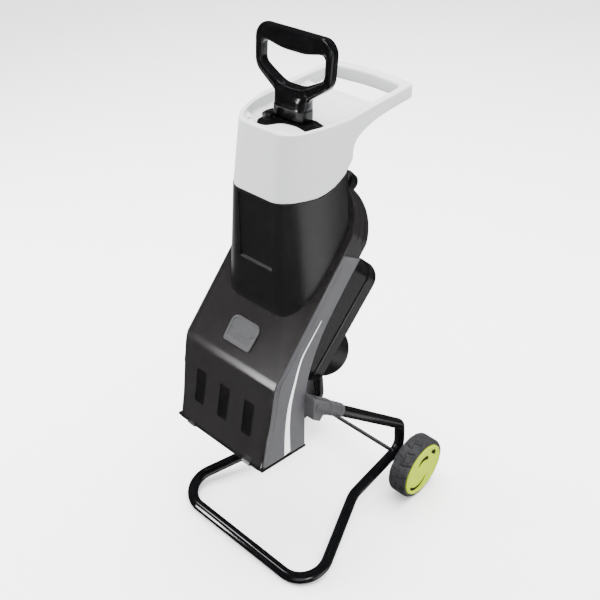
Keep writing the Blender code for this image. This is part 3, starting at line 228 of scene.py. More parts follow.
def loft(name, rings, mat):
    bm = bmesh.new()
    rows = [[bm.verts.new(p) for p in ring] for ring in rings]
    n = len(rings[0])
    for a, b in zip(rows, rows[1:]):
        for i in range(n):
            j = (i + 1) % n
            bm.faces.new((a[i], a[j], b[j], b[i]))
    bm.faces.new(rows[0])
    bm.faces.new(rows[-1])
    return mesh_object(name, bm, mat)


def boolean(ob, other, op='DIFFERENCE'):
    md = ob.modifiers.new("cut", 'BOOLEAN')
    md.operation = op
    md.object = other
    md.solver = 'EXACT'
    baked(ob)
    bm = bmesh.new()
    bm.from_mesh(ob.data)
    bmesh.ops.remove_doubles(bm, verts=bm.verts, dist=0.00002)
    bm.to_mesh(ob.data)
    bm.free()
    bpy.data.objects.remove(other, do_unlink=True)
    return ob


def clean(ob, deg=0.2):
    bm = bmesh.new()
    bm.from_mesh(ob.data)
    bmesh.ops.dissolve_limit(bm, angle_limit=math.radians(deg), verts=bm.verts, edges=bm.edges)
    bm.to_mesh(ob.data)
    bm.free()
    return ob


def soften(ob, voxel=0.0011, rounds=6, rear=None):
    """Even small cells all over, then smoothed, so that every edge is rounded as a moulding's is."""
    md = ob.modifiers.new("cells", 'REMESH')
    md.mode = 'VOXEL'
    md.voxel_size = voxel
    baked(ob)
    if rear:
        g = ob.vertex_groups.new(name="rear")
        y0, y1, more = rear
        for v in ob.data.vertices:
            w = max(0.0, min(1.0, (v.co.y - y0) / (y1 - y0)))
            if w > 0:
                g.add([v.index], w, 'REPLACE')
        sm = ob.modifiers.new("rear", 'SMOOTH')
        sm.iterations = more
        sm.factor = 0.5
        sm.vertex_group = "rear"
    sm = ob.modifiers.new("smooth", 'SMOOTH')
    sm.iterations = rounds
    sm.factor = 0.5
    baked(ob)
    ob.data.shade_smooth()
    return ob


def rounded(ob, width=0.0008, segs=3, deg=30.0, clamp=True):
    """Rounded edges on a hard-edged piece."""
    md = ob.modifiers.new("edges", 'BEVEL')
    md.width = width
    md.segments = segs
    md.limit_method = 'ANGLE'
    md.angle_limit = math.radians(deg)
    md.use_clamp_overlap = clamp
    md.harden_normals = True
    ob.data.shade_smooth()
    wn = ob.modifiers.new("normals", 'WEIGHTED_NORMAL')
    wn.keep_sharp = False
    wn.weight = 80
    return ob


def bevelled(ob, width, segs=4, deg=50.0):
    """Edges rounded for good, before other shapes are cut or joined."""
    md = ob.modifiers.new("round", 'BEVEL')
    md.width = width
    md.segments = segs
    md.limit_method = 'ANGLE'
    md.angle_limit = math.radians(deg)
    md.use_clamp_overlap = False
    return baked(ob)


def smooth_by_angle(ob, deg=35.0):
    ob.data.shade_smooth()
    ob.data.set_sharp_from_angle(angle=math.radians(deg))
    return ob


def fillet(points, radii, steps=8, closed=True):
    out = []
    n = len(points)
    for i, p in enumerate(points):
        r = radii[i] if isinstance(radii, (list, tuple)) else radii
        if r <= 0 or (not closed and i in (0, n - 1)):
            out.append(tuple(p))
            continue
        v = Vector(p)
        a = Vector(points[(i - 1) % n]) - v
        b = Vector(points[(i + 1) % n]) - v
        ang = a.angle(b)
        if ang > math.radians(178):
            out.append(tuple(p))
            continue
        d = min(r / math.tan(ang / 2), a.length * 0.495, b.length * 0.495)
        r2 = d * math.tan(ang / 2)
        an, bn = a.normalized(), b.normalized()
        s, e = v + an * d, v + bn * d
        c = v + (an + bn).normalized() * (r2 / math.sin(ang / 2))
        k = steps[i] if isinstance(steps, (list, tuple)) else steps
        u, w = s - c, e - c
        tot = u.angle(w)
        for j in range(k + 1):
            f = j / k
            q = (u * math.sin((1 - f) * tot) + w * math.sin(f * tot)) / math.sin(tot)
            out.append(tuple(c + q))
    return out


def arc(cx, cy, r, a0, a1, n):
    return [(cx + r * math.cos(math.radians(a0 + (a1 - a0) * i / n)),
             cy + r * math.sin(math.radians(a0 + (a1 - a0) * i / n))) for i in range(n + 1)]


def bez(p0, p1, p2, p3, n):
    out = []
    for i in range(n + 1):
        t = i / n
        out.append(tuple((1 - t) ** 3 * a + 3 * (1 - t) ** 2 * t * b + 3 * (1 - t) * t * t * c + t ** 3 * d
                         for a, b, c, d in zip(p0, p1, p2, p3)))
    return out


def catmull(pts, n=5, closed=False):
    """A smooth line through 2D or 3D points."""
    P = [Vector(p) for p in pts]
    m = len(P)
    out = []
    for i in range(m if closed else m - 1):
        p1, p2 = P[i], P[(i + 1) % m]
        p0 = P[(i - 1) % m] if closed or i > 0 else p1 * 2 - p2
        p3 = P[(i + 2) % m] if closed or i < m - 2 else p2 * 2 - p1
        for j in range(n):
            t = j / n
            out.append(tuple(0.5 * ((2 * p1) + (p2 - p0) * t + (2 * p0 - 5 * p1 + 4 * p2 - p3) * t * t + (3 * p1 - p0 - 3 * p2 + p3) * t ** 3)))
    if not closed:
        out.append(tuple(P[-1]))
    return out


# ----------------------------------------------------------------- materials
class Mat:
    """A Principled material whose colour, roughness and bump come from its nodes."""

    def __init__(self, name):
        self.m = bpy.data.materials.new(name)
        self.m.use_nodes = True
        self.t = self.m.node_tree
        self.b = self.t.nodes["Principled BSDF"]
        self.co = self.t.nodes.new("ShaderNodeTexCoord")

    def new(self, kind, **kw):
        n = self.t.nodes.new(kind)
        for k, v in kw.items():
            if hasattr(n, k) and not isinstance(v, tuple):
                setattr(n, k, v)
            else:
                n.inputs[k].default_value = v
        return n

    def link(self, a, b):
        self.t.links.new(a, b)

    def noise(self, scale, detail=3.0, rough=0.55, stretch=None, kind="ShaderNodeTexNoise"):
        src = self.co.outputs["Object"]
        if stretch:
            mp = self.t.nodes.new("ShaderNodeMapping")
            mp.inputs["Scale"].default_value = stretch
            self.link(src, mp.inputs["Vector"])
            src = mp.outputs["Vector"]
        n = self.t.nodes.new(kind)
        n.inputs["Scale"].default_value = scale
        if kind == "ShaderNodeTexNoise":
            n.inputs["Detail"].default_value = detail
            n.inputs["Roughness"].default_value = rough
        self.link(src, n.inputs["Vector"])
        return n.outputs["Fac"] if kind == "ShaderNodeTexNoise" else n.outputs["Distance"]

    def ramp(self, fac, stops):
        r = self.t.nodes.new("ShaderNodeValToRGB")
        els = r.color_ramp.elements
        els[0].position, els[0].color = stops[0][0], (*stops[0][1], 1)
        els[1].position, els[1].color = stops[-1][0], (*stops[-1][1], 1)
        for p, c in stops[1:-1]:
            e = els.new(p)
            e.color = (*c, 1)
        self.link(fac, r.inputs["Fac"])
        return r.outputs["Color"]

    def span(self, fac, a, b, lo=0.3, hi=0.7):
        r = self.t.nodes.new("ShaderNodeMapRange")
        r.inputs["From Min"].default_value = lo
        r.inputs["From Max"].default_value = hi
        r.inputs["To Min"].default_value = a
        r.inputs["To Max"].default_value = b
        self.link(fac, r.inputs["Value"])
        return r.outputs["Result"]

    def mix(self, fac, a, b):
        m = self.t.nodes.new("ShaderNodeMix")
        m.data_type = 'RGBA'
        self.link(fac, m.inputs["Factor"])
        for sock, v in ((m.inputs[6], a), (m.inputs[7], b)):
            if isinstance(v, tuple):
                sock.default_value = (*v, 1)
            else:
                self.link(v, sock)
        return m.outputs[2]

    def add(self, a, b, op='ADD', k=None):
        m = self.t.nodes.new("ShaderNodeMath")
        m.operation = op
        self.link(a, m.inputs[0])
        if b is not None:
            self.link(b, m.inputs[1])
        else:
            m.inputs[1].default_value = k
        return m.outputs[0]

    def bump(self, height, strength, dist=0.0004, normal=None):
        n = self.t.nodes.new("ShaderNodeBump")
        n.inputs["Strength"].default_value = strength
        n.inputs["Distance"].default_value = dist
        self.link(height, n.inputs["Height"])
        if normal is not None:
            self.link(normal, n.inputs["Normal"])
        return n.outputs["Normal"]

    def edge(self, lo=0.51, hi=0.56):
        """1 on raised edges, from the mesh's pointiness."""
        g = self.t.nodes.new("ShaderNodeNewGeometry")
        return self.span(g.outputs["Pointiness"], 0.0, 1.0, lo, hi)

    def out(self, colour=None, rough=None, normal=None, **fixed):
        if colour is not None:
            self.link(colour, self.b.inputs["Base Color"])
        if rough is not None:
            self.link(rough, self.b.inputs["Roughness"])
        if normal is not None:
            self.link(normal, self.b.inputs["Normal"])
        for k, v in fixed.items():
            self.b.inputs[k.replace("_", " ")].default_value = v
        return self.m


def tint(c, k):
    return tuple(min(1.0, max(0.0, x * k)) for x in c)


def plastic(name, rgb, rough, grain=0.10, grain_size=1400, spread=0.05, wear=0.25, marks=0.03, spec=0.5, coat=0.0):
    """Moulded plastic: faint flow marks, fine grain, hair scratches and slightly polished edges."""
    m = Mat(name)
    cloud = m.noise(9.0, 4.0)
    fine = m.noise(220.0, 2.0)
    base = m.ramp(cloud, [(0.25, tint(rgb, 1 - spread)), (0.75, tint(rgb, 1 + spread))])
    dust = m.span(m.noise(38.0, 6.0, 0.7), 0.0, 1.0, 0.55, 0.80)
    base = m.mix(m.add(dust, None, 'MULTIPLY', marks * 2.5), base, tuple(0.75 * x + 0.10 for x in rgb))
    edge = m.edge()
    base = m.mix(m.add(edge, None, 'MULTIPLY', wear * 0.35), base, tuple(min(1, x * 1.25 + 0.02) for x in rgb))
    hair = m.noise(60.0, 5.0, 0.7, stretch=(14.0, 1.0, 3.0))
    r = m.add(m.span(cloud, rough - 0.03, rough + 0.03), m.span(hair, 0.0, marks * 2, 0.55, 0.75))
    r = m.add(r, m.add(edge, None, 'MULTIPLY', -0.08 * wear))
    h = m.noise(grain_size, 2.0, 0.6)
    n = m.bump(h, grain, 0.0002)
    n = m.bump(fine, grain * 0.35, 0.0004, n)
    fixed = {"Specular IOR Level": spec}
    if coat:
        fixed["Coat Weight"] = coat
        fixed["Coat Roughness"] = 0.08
    for k, v in fixed.items():
        m.b.inputs[k].default_value = v
    return m.out(base, r, n)


def paint(name, rgb, rough, peel=0.06):
    """Gloss paint with a faint orange peel and small rubs."""
    m = Mat(name)
    cloud = m.noise(14.0, 4.0)
    base = m.ramp(cloud, [(0.3, tint(rgb, 0.85)), (0.7, tint(rgb, 1.2))])
    rub = m.span(m.noise(46.0, 6.0, 0.75), 0.0, 1.0, 0.62, 0.80)
    base = m.mix(m.add(rub, None, 'MULTIPLY', 0.20), base, tuple(x + 0.03 for x in rgb))
    r = m.add(m.span(cloud, rough - 0.02, rough + 0.03), m.add(rub, None, 'MULTIPLY', 0.10))
    n = m.bump(m.noise(420.0, 2.0), peel, 0.0003)
    m.b.inputs["Coat Weight"].default_value = 0.4
    m.b.inputs["Coat Roughness"].default_value = 0.05
    return m.out(base, r, n)


def metal(name, rgb, rough, brushed=True, stretch=(60.0, 1.5, 1.5)):
    m = Mat(name)
    lines = m.noise(30.0, 5.0, 0.7, stretch=stretch if brushed else None)
    cloud = m.noise(22.0, 4.0)
    base = m.ramp(lines, [(0.3, tint(rgb, 0.82)), (0.7, tint(rgb, 1.12))])
    base = m.mix(m.span(cloud, 0.0, 0.35, 0.45, 0.8), base, tint(rgb, 0.55))
    r = m.add(m.span(lines, rough - 0.06, rough + 0.08), m.span(cloud, 0.0, 0.06))
    n = m.bump(lines, 0.10, 0.0002)
    return m.out(base, r, n, Metallic=1.0)


def rubber(name, rgb, rough):
    m = Mat(name)
    cloud = m.noise(20.0, 5.0)
    base = m.ramp(cloud, [(0.3, tint(rgb, 0.8)), (0.7, tint(rgb, 1.3))])
    dust = m.span(m.noise(60.0, 6.0, 0.7), 0.0, 1.0, 0.50, 0.78)
    base = m.mix(m.add(dust, None, 'MULTIPLY', 0.25), base, tuple(x * 1.6 + 0.03 for x in rgb))
    # raised edges and tread shoulders lightened from the mesh's pointiness: painted highlight
    edge = m.edge(0.52, 0.60)
    base = m.mix(m.add(edge, None, 'MULTIPLY', 0.35), base, tuple(x * 1.8 + 0.03 for x in rgb))
    r = m.add(m.span(cloud, rough - 0.05, rough + 0.06), m.add(dust, None, 'MULTIPLY', 0.08))
    n = m.bump(m.noise(900.0, 3.0), 0.18, 0.0003)
    return m.out(base, r, n)


M_WHITE = plastic("shell_grey", (0.415, 0.420, 0.428), 0.40, grain=0.05, spread=0.02, wear=0.4, marks=0.02)
M_BLACK = plastic("shell_black", (0.0050, 0.0049, 0.0051), 0.34, grain=0.05, spread=0.08, wear=0.4, marks=0.015)
M_COVER = plastic("cover_black", (0.0072, 0.0065, 0.0066), 0.19, grain=0.03, spread=0.06, wear=0.4, marks=0.012)
M_GLOSS = plastic("gloss_black", (0.0020, 0.0020, 0.0022), 0.15, grain=0.02, grain_size=700, spread=0.10, wear=0.4, marks=0.012, spec=0.35)
M_SIDE = plastic("panel_grey", (0.046, 0.046, 0.050), 0.40, grain=0.10, spread=0.04, wear=0.6, marks=0.02)
M_SOCKET = plastic("socket_grey", (0.038, 0.038, 0.040), 0.46, grain=0.14, spread=0.06, wear=0.7, marks=0.04)
M_LIME = plastic("hub_lime", (0.300, 0.400, 0.0003), 0.42, grain=0.05, spread=0.03, wear=0.1, marks=0.002, spec=0.12)
M_RED = plastic("switch_red", (0.55, 0.025, 0.018), 0.32, grain=0.06, spread=0.04)
M_SILVER = plastic("silver_trim", (0.70, 0.71, 0.72), 0.30, grain=0.03, spread=0.03, wear=0.3, marks=0.01)
M_BADGE = plastic("plaque_grey", (0.040, 0.040, 0.042), 0.34, grain=0.10, spread=0.05, wear=0.9, marks=0.03)
M_DULL = plastic("dull_black", (0.0022, 0.0021, 0.0022), 0.55, grain=0.08, spread=0.10, wear=0.3, marks=0.0, spec=0.25)
# near-black matte sheets for the cover's pocket floors and the hub slots: their darkness is painted shade in those
# recesses
M_RECESS_SHADE = plastic("recess_shade_black", (0.0030, 0.0028, 0.0028), 0.62, grain=0.10, spread=0.10, wear=0.2, marks=0.0, spec=0.2)
M_FRAME = paint("tube_black", (0.0018, 0.0018, 0.0021), 0.09)
M_TYRE = rubber("tyre_grey", (0.015, 0.015, 0.0162), 0.42)
M_BELT = rubber("belt_black", (0.018, 0.018, 0.018), 0.75)
M_STEEL = metal("machined_steel", (0.55, 0.55, 0.56), 0.30)
M_ALLOY = metal("cast_alloy", (0.58, 0.58, 0.59), 0.45, brushed=False)
M_COPPER = metal("winding", (0.56, 0.25, 0.10), 0.38, stretch=(1.5, 1.5, 60.0))
M_CONTACT = metal("contact_brass", (0.70, 0.52, 0.24), 0.28)

SLOT_OF = {s["node"]: s["material_slot"] for s in frame["record"]["subparts"]}
LOOK = {"hopper_grey": M_WHITE, "satin_black": M_BLACK, "gloss_black": M_GLOSS, "side_grey": M_SIDE, "silver_trim": M_SILVER,
        "badge_grey": M_BADGE, "frame_paint": M_FRAME, "socket_grey": M_SOCKET, "tyre_grey": M_TYRE, "hub_lime": M_LIME,
        "steel": M_STEEL, "alloy": M_ALLOY, "winding": M_COPPER, "belt_rubber": M_BELT, "switch_red": M_RED}
BODY_OF = {n: b for b, ns in frame["record"]["behaviour"]["bodies"].items() for n in ns}


def dress(ob, mat):
    ob.data.materials.clear()
    ob.data.materials.append(mat)
    return ob


def skin(ob, node, mat=None, name=None):
    """ob is shown in place of the CAD node, on the node's body."""
    ob.name = name or node + "_skin"
    if mat is not None:
        dress(ob, mat)
    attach(ob, BODY_OF[node])
    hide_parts(node)
    return ob


def extra(ob, node, mat, name):
    """An added detail that moves with the CAD node's body."""
    ob.name = name
    dress(ob, mat)
    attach(ob, BODY_OF[node])
    return ob


# ================================================================= stand
def on_loop(x, y):
    return (x, y, TUBE_R + (WHEEL_R - TUBE_R) * (y - FOOT_Y) / (AXLE_Y - FOOT_Y))


arm0 = sl(ARM_T, ARM_N)
nose_z = arm0[1] - math.tan(math.radians(ARM_DEG)) * (NOSE_Y - arm0[0])
half = [(ARM_X, arm0[0], arm0[1]), (ARM_X, NOSE_Y, nose_z), (ARM_X, HEEL_Y, HEEL_Z), on_loop(ARM_X, KNEE_LEG_Y), (FOOT_X, FOOT_Y, TUBE_R)]
path = half + [(-x, y, z) for x, y, z in reversed(half)]
line = fillet(path, [0, 0.032, 0.032, 0.080, 0.060, 0.060, 0.080, 0.032, 0.032, 0], [1, 14, 18, 12, 24, 24, 12, 18, 14, 1], closed=False)
skin(smooth_by_angle(tube("stand", line, TUBE_R, ROOT, 48)), "frame_tube", M_FRAME)
skin(rounded(cyl("axle_bar", AXLE_R, AXLE_R, -0.1985, 0.1985, ROOT, (AXLE_Y, WHEEL_R), 'X', 40), 0.0006), "axle", M_FRAME)


# ================================================================= wheels
def tyre(side, s):
    """Wheel body turned about the axle, its tread cut by curved grooves."""
    w0, w1 = TYRE_IN, TYRE_OUT
    shoulder = fillet([(0.0640, 0.1850), (0.0650, w0 + 0.0020), (0.0720, w0), (WHEEL_R, w0 + 0.0060), (WHEEL_R, w1 - 0.0060), (0.0722, w1),
                       (0.0657, w1 - 0.0010), (0.0657, 0.1895)], [0.001, 0.001, 0.003, 0.008, 0.008, 0.003, 0.0006, 0.0006], 5)
    # finer steps across the tread
    prof = []
    for (r0, h0), (r1, h1) in zip(shoulder, shoulder[1:]):
        prof.append((r0, h0))
        if r0 > 0.0755 and r1 > 0.0755 and abs(h1 - h0) > 0.01:
            k = int(abs(h1 - h0) / 0.0009)
            prof += [(r0 + (r1 - r0) * i / k, h0 + (h1 - h0) * i / k) for i in range(1, k)]
    prof.append(shoulder[-1])
    prof += [(0.0300, 0.1895), (AXLE_R + GAP, 0.1895), (AXLE_R + GAP, 0.1645), (0.0130, 0.1645), (0.0150, 0.1850), (0.0400, 0.1850)]
    segs = 420
    mid, halfw = (w0 + w1) / 2, (w1 - w0) / 2
    bm = bmesh.new()
    rows = []
    pitch = 2 * math.pi / 15
    for k in range(segs):
        a = 2 * math.pi * k / segs
        row = []
        for r, h in prof:
            cut = 0.0
            u = (h - mid) / halfw
            if r > 0.0700 and abs(u) < 0.999:
                # two rows of hooked grooves, staggered, that run out over the shoulders
                for sign, shift in ((1, 0.0), (-1, 0.5)):
                    if sign * u < -0.18:
                        continue
                    q = abs(sign * u + 0.18) / 1.18
                    lag = 0.10 + 0.13 * q * q
                    d = ((a + lag) / pitch + shift + 0.5) % 1.0 - 0.5
                    d = abs(d) * pitch * WHEEL_R
                    wide = 0.0016 + 0.0011 * q
                    fade = min(1.0, q / 0.10)
                    cut = max(cut, fade * max(0.0, min(1.0, (wide - d) / 0.0008)))
                # short bars between them
                d = ((a + 0.05 * u) / pitch + (0.5 if u > 0 else 0.0) + 0.5) % 1.0 - 0.5
                d = abs(d) * pitch * WHEEL_R
                near = abs(abs(u) - 0.62)
                if near < 0.20:
                    cut = max(cut, 0.8 * max(0.0, min(1.0, (0.0011 - d) / 0.0008)) * min(1.0, (0.20 - near) / 0.05))
                # zigzag line round the middle
                z = u - 0.10 * (2 / math.pi) * math.asin(math.sin(a * 15 * 1.0))
                cut = max(cut, max(0.0, min(1.0, (0.045 - abs(z)) / 0.03)) * 0.8)
                cut *= max(0.0, min(1.0, (r - 0.0700) / 0.003))
            rr = r - 0.0026 * cut
            row.append(bm.verts.new((rr * math.cos(a), rr * math.sin(a), h)))
        rows.append(row)
    n = len(prof)
    for k in range(segs):
        p, q = rows[k], rows[(k + 1) % segs]
        for i in range(n):
            j = (i + 1) % n
            bm.faces.new((p[i], p[j], q[j], q[i]))
    ob = mesh_object(side, bm, ROOT @ Matrix.Translation((0, AXLE_Y, WHEEL_R)) @ turn(90 * s, 'Y'))
    return smooth_by_angle(ob, 40)


# three curved slots in each cap, given as radius and angle round the axle, and their width
HUB_SLOTS = ((((0.0500, 22), (0.0505, 32), (0.0500, 42), (0.0480, 54)), 0.0120),
             (((0.0290, 50), (0.0330, 75), (0.0330, 104), (0.0290, 132)), 0.0130),
             (((0.0545, 210), (0.0520, 234), (0.0450, 262), (0.0330, 298)), 0.0105))


def slot_shape(line, wide, s):
    mid = catmull([(r * math.cos(math.radians(t)), r * math.sin(math.radians(t))) for r, t in line], 7)
    lo_side, hi_side = [], []
    for i, p in enumerate(mid):
        q0, q1 = mid[max(0, i - 1)], mid[min(len(mid) - 1, i + 1)]
        d = Vector((q1[0] - q0[0], q1[1] - q0[1])).normalized()
        f = i / (len(mid) - 1)
        hw = wide * (0.30 + 0.70 * math.sin(math.pi * min(1.0, max(0.0, f))) ** 0.6) / 2
        lo_side.append((p[0] + d.y * hw, p[1] - d.x * hw))
        hi_side.append((p[0] - d.y * hw, p[1] + d.x * hw))
    return [(-z * s, y) for y, z in lo_side + list(reversed(hi_side))]


def hub(side, s):
    mat = ROOT @ Matrix.Translation((0, AXLE_Y, WHEEL_R)) @ turn(90 * s, 'Y')
    face = fillet([(HUB_R, 0.1900), (HUB_R, 0.2165), (0.0604, 0.2165), (0.0592, 0.2143), (0.0200, 0.2143),
                   (0.0172, 0.2158), (0.0, 0.2158), (0.0, 0.2030), (0.0150, 0.2030), (0.0560, 0.2050), (0.0605, 0.1990), (0.0610, 0.1900)],
                  [0.0, 0.0016, 0.0016, 0.0016, 0.0012, 0.0012, 0, 0, 0, 0.001, 0.001, 0], 4)
    ob = turned("hub", face, mat, 144)
    for k, (line, wide) in enumerate(HUB_SLOTS):
        boolean(ob, plate("hub_slot", slot_shape(line, wide, s), 0.1950, 0.230, mat))
    return ob


for nm, s in (("right", 1), ("left", -1)):
    skin(tyre(nm, s), nm + "_tyre", M_TYRE)
    h = skin(rounded(hub(nm, s), 0.0007, 3, 40), nm + "_hub", M_LIME)
    mat = ROOT @ Matrix.Translation((0, AXLE_Y, WHEEL_R)) @ turn(90 * s, 'Y')
    # a near-black sheet just below each slot's mouth: painted shade inside the slots
    for k, (line, wide) in enumerate(HUB_SLOTS):
        extra(plate("slot_shade_sheet", slot_shape(line, wide + 0.0012, s), 0.2126, 0.2135, mat), nm + "_hub", M_RECESS_SHADE, nm + "_hub_slot_%d" % k)
    sp = turned("spacer", fillet([(0.0085, ARM_X + TUBE_R + 0.0006), (0.0085, 0.1640), (AXLE_R + GAP, 0.1640), (AXLE_R + GAP, ARM_X + TUBE_R + 0.0006)],
                                 [0.0008, 0.0008, 0, 0], 3), mat, 48)
    skin(smooth_by_angle(sp), nm + "_spacer", M_SOCKET)


# ================================================================= disc housing and duct
ARCH_N = 64


def arch(r, low, half_w=None, n=ARCH_N):
    hw = half_w if half_w is not None else r
    a0 = math.degrees(math.acos(hw / r))
    return arc(0, 0, r, a0, 180 - a0, n) + [(-hw, low), (hw, low)]


knee = sl(-0.2849, FRONT_N)
KNEE_R = 0.044
low_line = (LIP_Z + 0.0025, DUCT_BACK_Z + 0.0025)


def back_curve(off, n=20):
    a = sl(-0.115, -off)
    return bez(a, (a[0] - 0.036, a[1] - 0.040), (DUCT_BACK - off, 0.505), (DUCT_BACK - off, 0.435), n)


def body_outline(front_off, back_off, low, top_t=-0.06, n=14):
    f_bot = (LIP_Y + front_off / math.cos(math.radians(11)), low[0])
    kn = (knee[0] + front_off * 1.0, knee[1] - front_off * 0.30)
    top_f = sl(top_t, FRONT_N + front_off)
    top_b = sl(top_t, -back_off)
    pts = fillet([f_bot, kn, top_f], [0, KNEE_R - front_off, 0], n, closed=False)
    return pts + [top_b] + back_curve(back_off) + [(DUCT_BACK - back_off, low[1])]


# the arch's rim is stepped: three raised bands with grooves between them
top = HOUSE_D - COVER_T - GAP
rear = plate("housing", arch(ARCH_R, -0.20, R_OUT), 0.0, 0.0150, SLOPE)
for i, (z0, z1, r) in enumerate(((0.0150, 0.0185, ARCH_R - 0.0020), (0.0185, 0.0350, ARCH_R), (0.0350, 0.0380, ARCH_R - 0.0020), (0.0380, top, ARCH_R))):
    boolean(rear, plate("band", arch(r, -0.20, R_OUT), z0 - 0.0001, z1, SLOPE), 'UNION')
boolean(rear, plate("lower_body", body_outline(COVER_T + GAP, 0.0, low_line), -R_OUT, R_OUT, SIDE), 'UNION')
boolean(rear, plate("pocket", arch(R_OUT - WALL, -0.19), WALL, HOUSE_D + 0.02, SLOPE))
boolean(rear, plate("duct", body_outline(-0.02, WALL, (LIP_Z - 0.03, DUCT_BACK_Z - 0.03), top_t=-0.08), -(R_OUT - WALL), R_OUT - WALL, SIDE))
boolean(rear, cyl("spindle_hole", 0.0262, 0.0262, -0.02, 0.02, SLOPE @ Matrix.Translation((0, -0.0525, 0))))
boss = box("knob_boss", (-0.0150, 0.108, 0.0006), (0.0150, 0.1440, 0.0520), SLOPE, bevel=0.004, segs=4, only_z=True)
boolean(boss, cyl("under_arch", ARCH_R - 0.0015, ARCH_R - 0.0015, -0.02, 0.08, SLOPE, (0, 0), segs=160))
boolean(rear, boss, 'UNION')
boolean(rear, cyl("stud_hole", 0.0046, 0.0046, -0.05, 0.10, SLOPE, (0, STUD_T), segs=32))
skin(rounded(clean(rear), 0.0006, 2, 30), "rear_housing", M_COVER)

# ================================================================= side panels and stripes
panel_front = fillet([(LIP_Y + COVER_T + 0.0006, low_line[0]), (knee[0] + COVER_T + 0.0006, knee[1] - 0.0012),
                      sl(-0.012, FRONT_N + COVER_T + 0.0006)], [0, KNEE_R - 0.004, 0], 24, closed=False)
panel_back = [sl(0.0, -0.0010)] + catmull([sl(-0.02, -0.0016), sl(-0.06, -0.0022), sl(-0.105, -0.0012)], 4) + back_curve(0.0008)[1:] + [(DUCT_BACK - 0.0008, low_line[1])]
stripe = catmull([(-0.0200, 0.6150, 0.0016), (-0.0480, 0.5860, 0.0030), (-0.0750, 0.5550, 0.0044), (-0.0950, 0.5030, 0.0064),
                  (-0.1080, 0.4600, 0.0088), (-0.1140, 0.4180, 0.0118), (-0.1158, 0.3820, 0.0142), (-0.1162, low_line[0] - 0.0060, 0.0165)], 6)
stripe_in = [(y - w / 2, z) for y, z, w in reversed(stripe)]
stripe_out = [(y + w / 2, z) for y, z, w in reversed(stripe)]


def run_on(t0, t1, back, w):
    """A thin line that keeps its distance behind the panel's front edge, in the side view."""
    e = fillet([(LIP_Y + COVER_T + 0.0006, low_line[0]), (knee[0] + COVER_T + 0.0006, knee[1] - 0.0012), sl(t1, FRONT_N + COVER_T + 0.0006)],
               [0, KNEE_R - 0.004, 0], 24, closed=False)
    e = [p for p in e if p[1] >= t0 - 1e-6] if t0 else e
    if t0:
        e = [(LIP_Y + COVER_T + 0.0006 + (t0 - low_line[0]) * math.tan(lean0), t0)] + e
    a_, b_ = [], []
    for i, p in enumerate(e):
        q0, q1 = e[max(0, i - 1)], e[min(len(e) - 1, i + 1)]
        d = Vector((q1[0] - q0[0], q1[1] - q0[1])).normalized()
        nrm = Vector((d.y, -d.x))
        f_ = min(1.0, i / max(1, 3)) * min(1.0, (len(e) - 1 - i) / 2)
        hw = w * (0.25 + 0.75 * f_) / 2
        a_.append((p[0] + nrm.x * (back - hw), p[1] + nrm.y * (back - hw)))
        b_.append((p[0] + nrm.x * (back + hw), p[1] + nrm.y * (back + hw)))
    return a_ + list(reversed(b_))


def set_back(line, off):
    """The panel's front edge moved back by a distance, twice as far at the lip."""
    out = []
    for i, pt in enumerate(line):
        q0, q1 = line[max(0, i - 1)], line[min(len(line) - 1, i + 1)]
        d = Vector((q1[0] - q0[0], q1[1] - q0[1])).normalized()
        o = off * (1.0 + max(0.0, min(1.0, (knee[1] - pt[1]) / (knee[1] - LIP_Z))))
        out.append((pt[0] + d.y * o, pt[1] - d.x * o if i else pt[1]))
    return out


def corner_cut(s):
    """Room cut away at a lower front corner, 8 mm at the lip and nothing at the knee."""
    lo_z, hi_z = LIP_Z - 0.02, knee[1] + 0.01
    lo_y, hi_y = LIP_Y - 0.0015, knee[0] - 0.0015
    a0, a1 = 0.0090, 0.0012
    rings = []
    for z, y, a in ((lo_z, lo_y, a0), (hi_z, hi_y, a1)):
        x = s * HALF_W
        ring = [(x - s * (a + 0.02), y - 0.02, z), (x + s * 0.02, y - 0.02, z), (x + s * 0.02, y + a + 0.02, z)]
        rings.append(ring if s > 0 else list(reversed(ring)))
    return loft("corner", rings, ROOT)


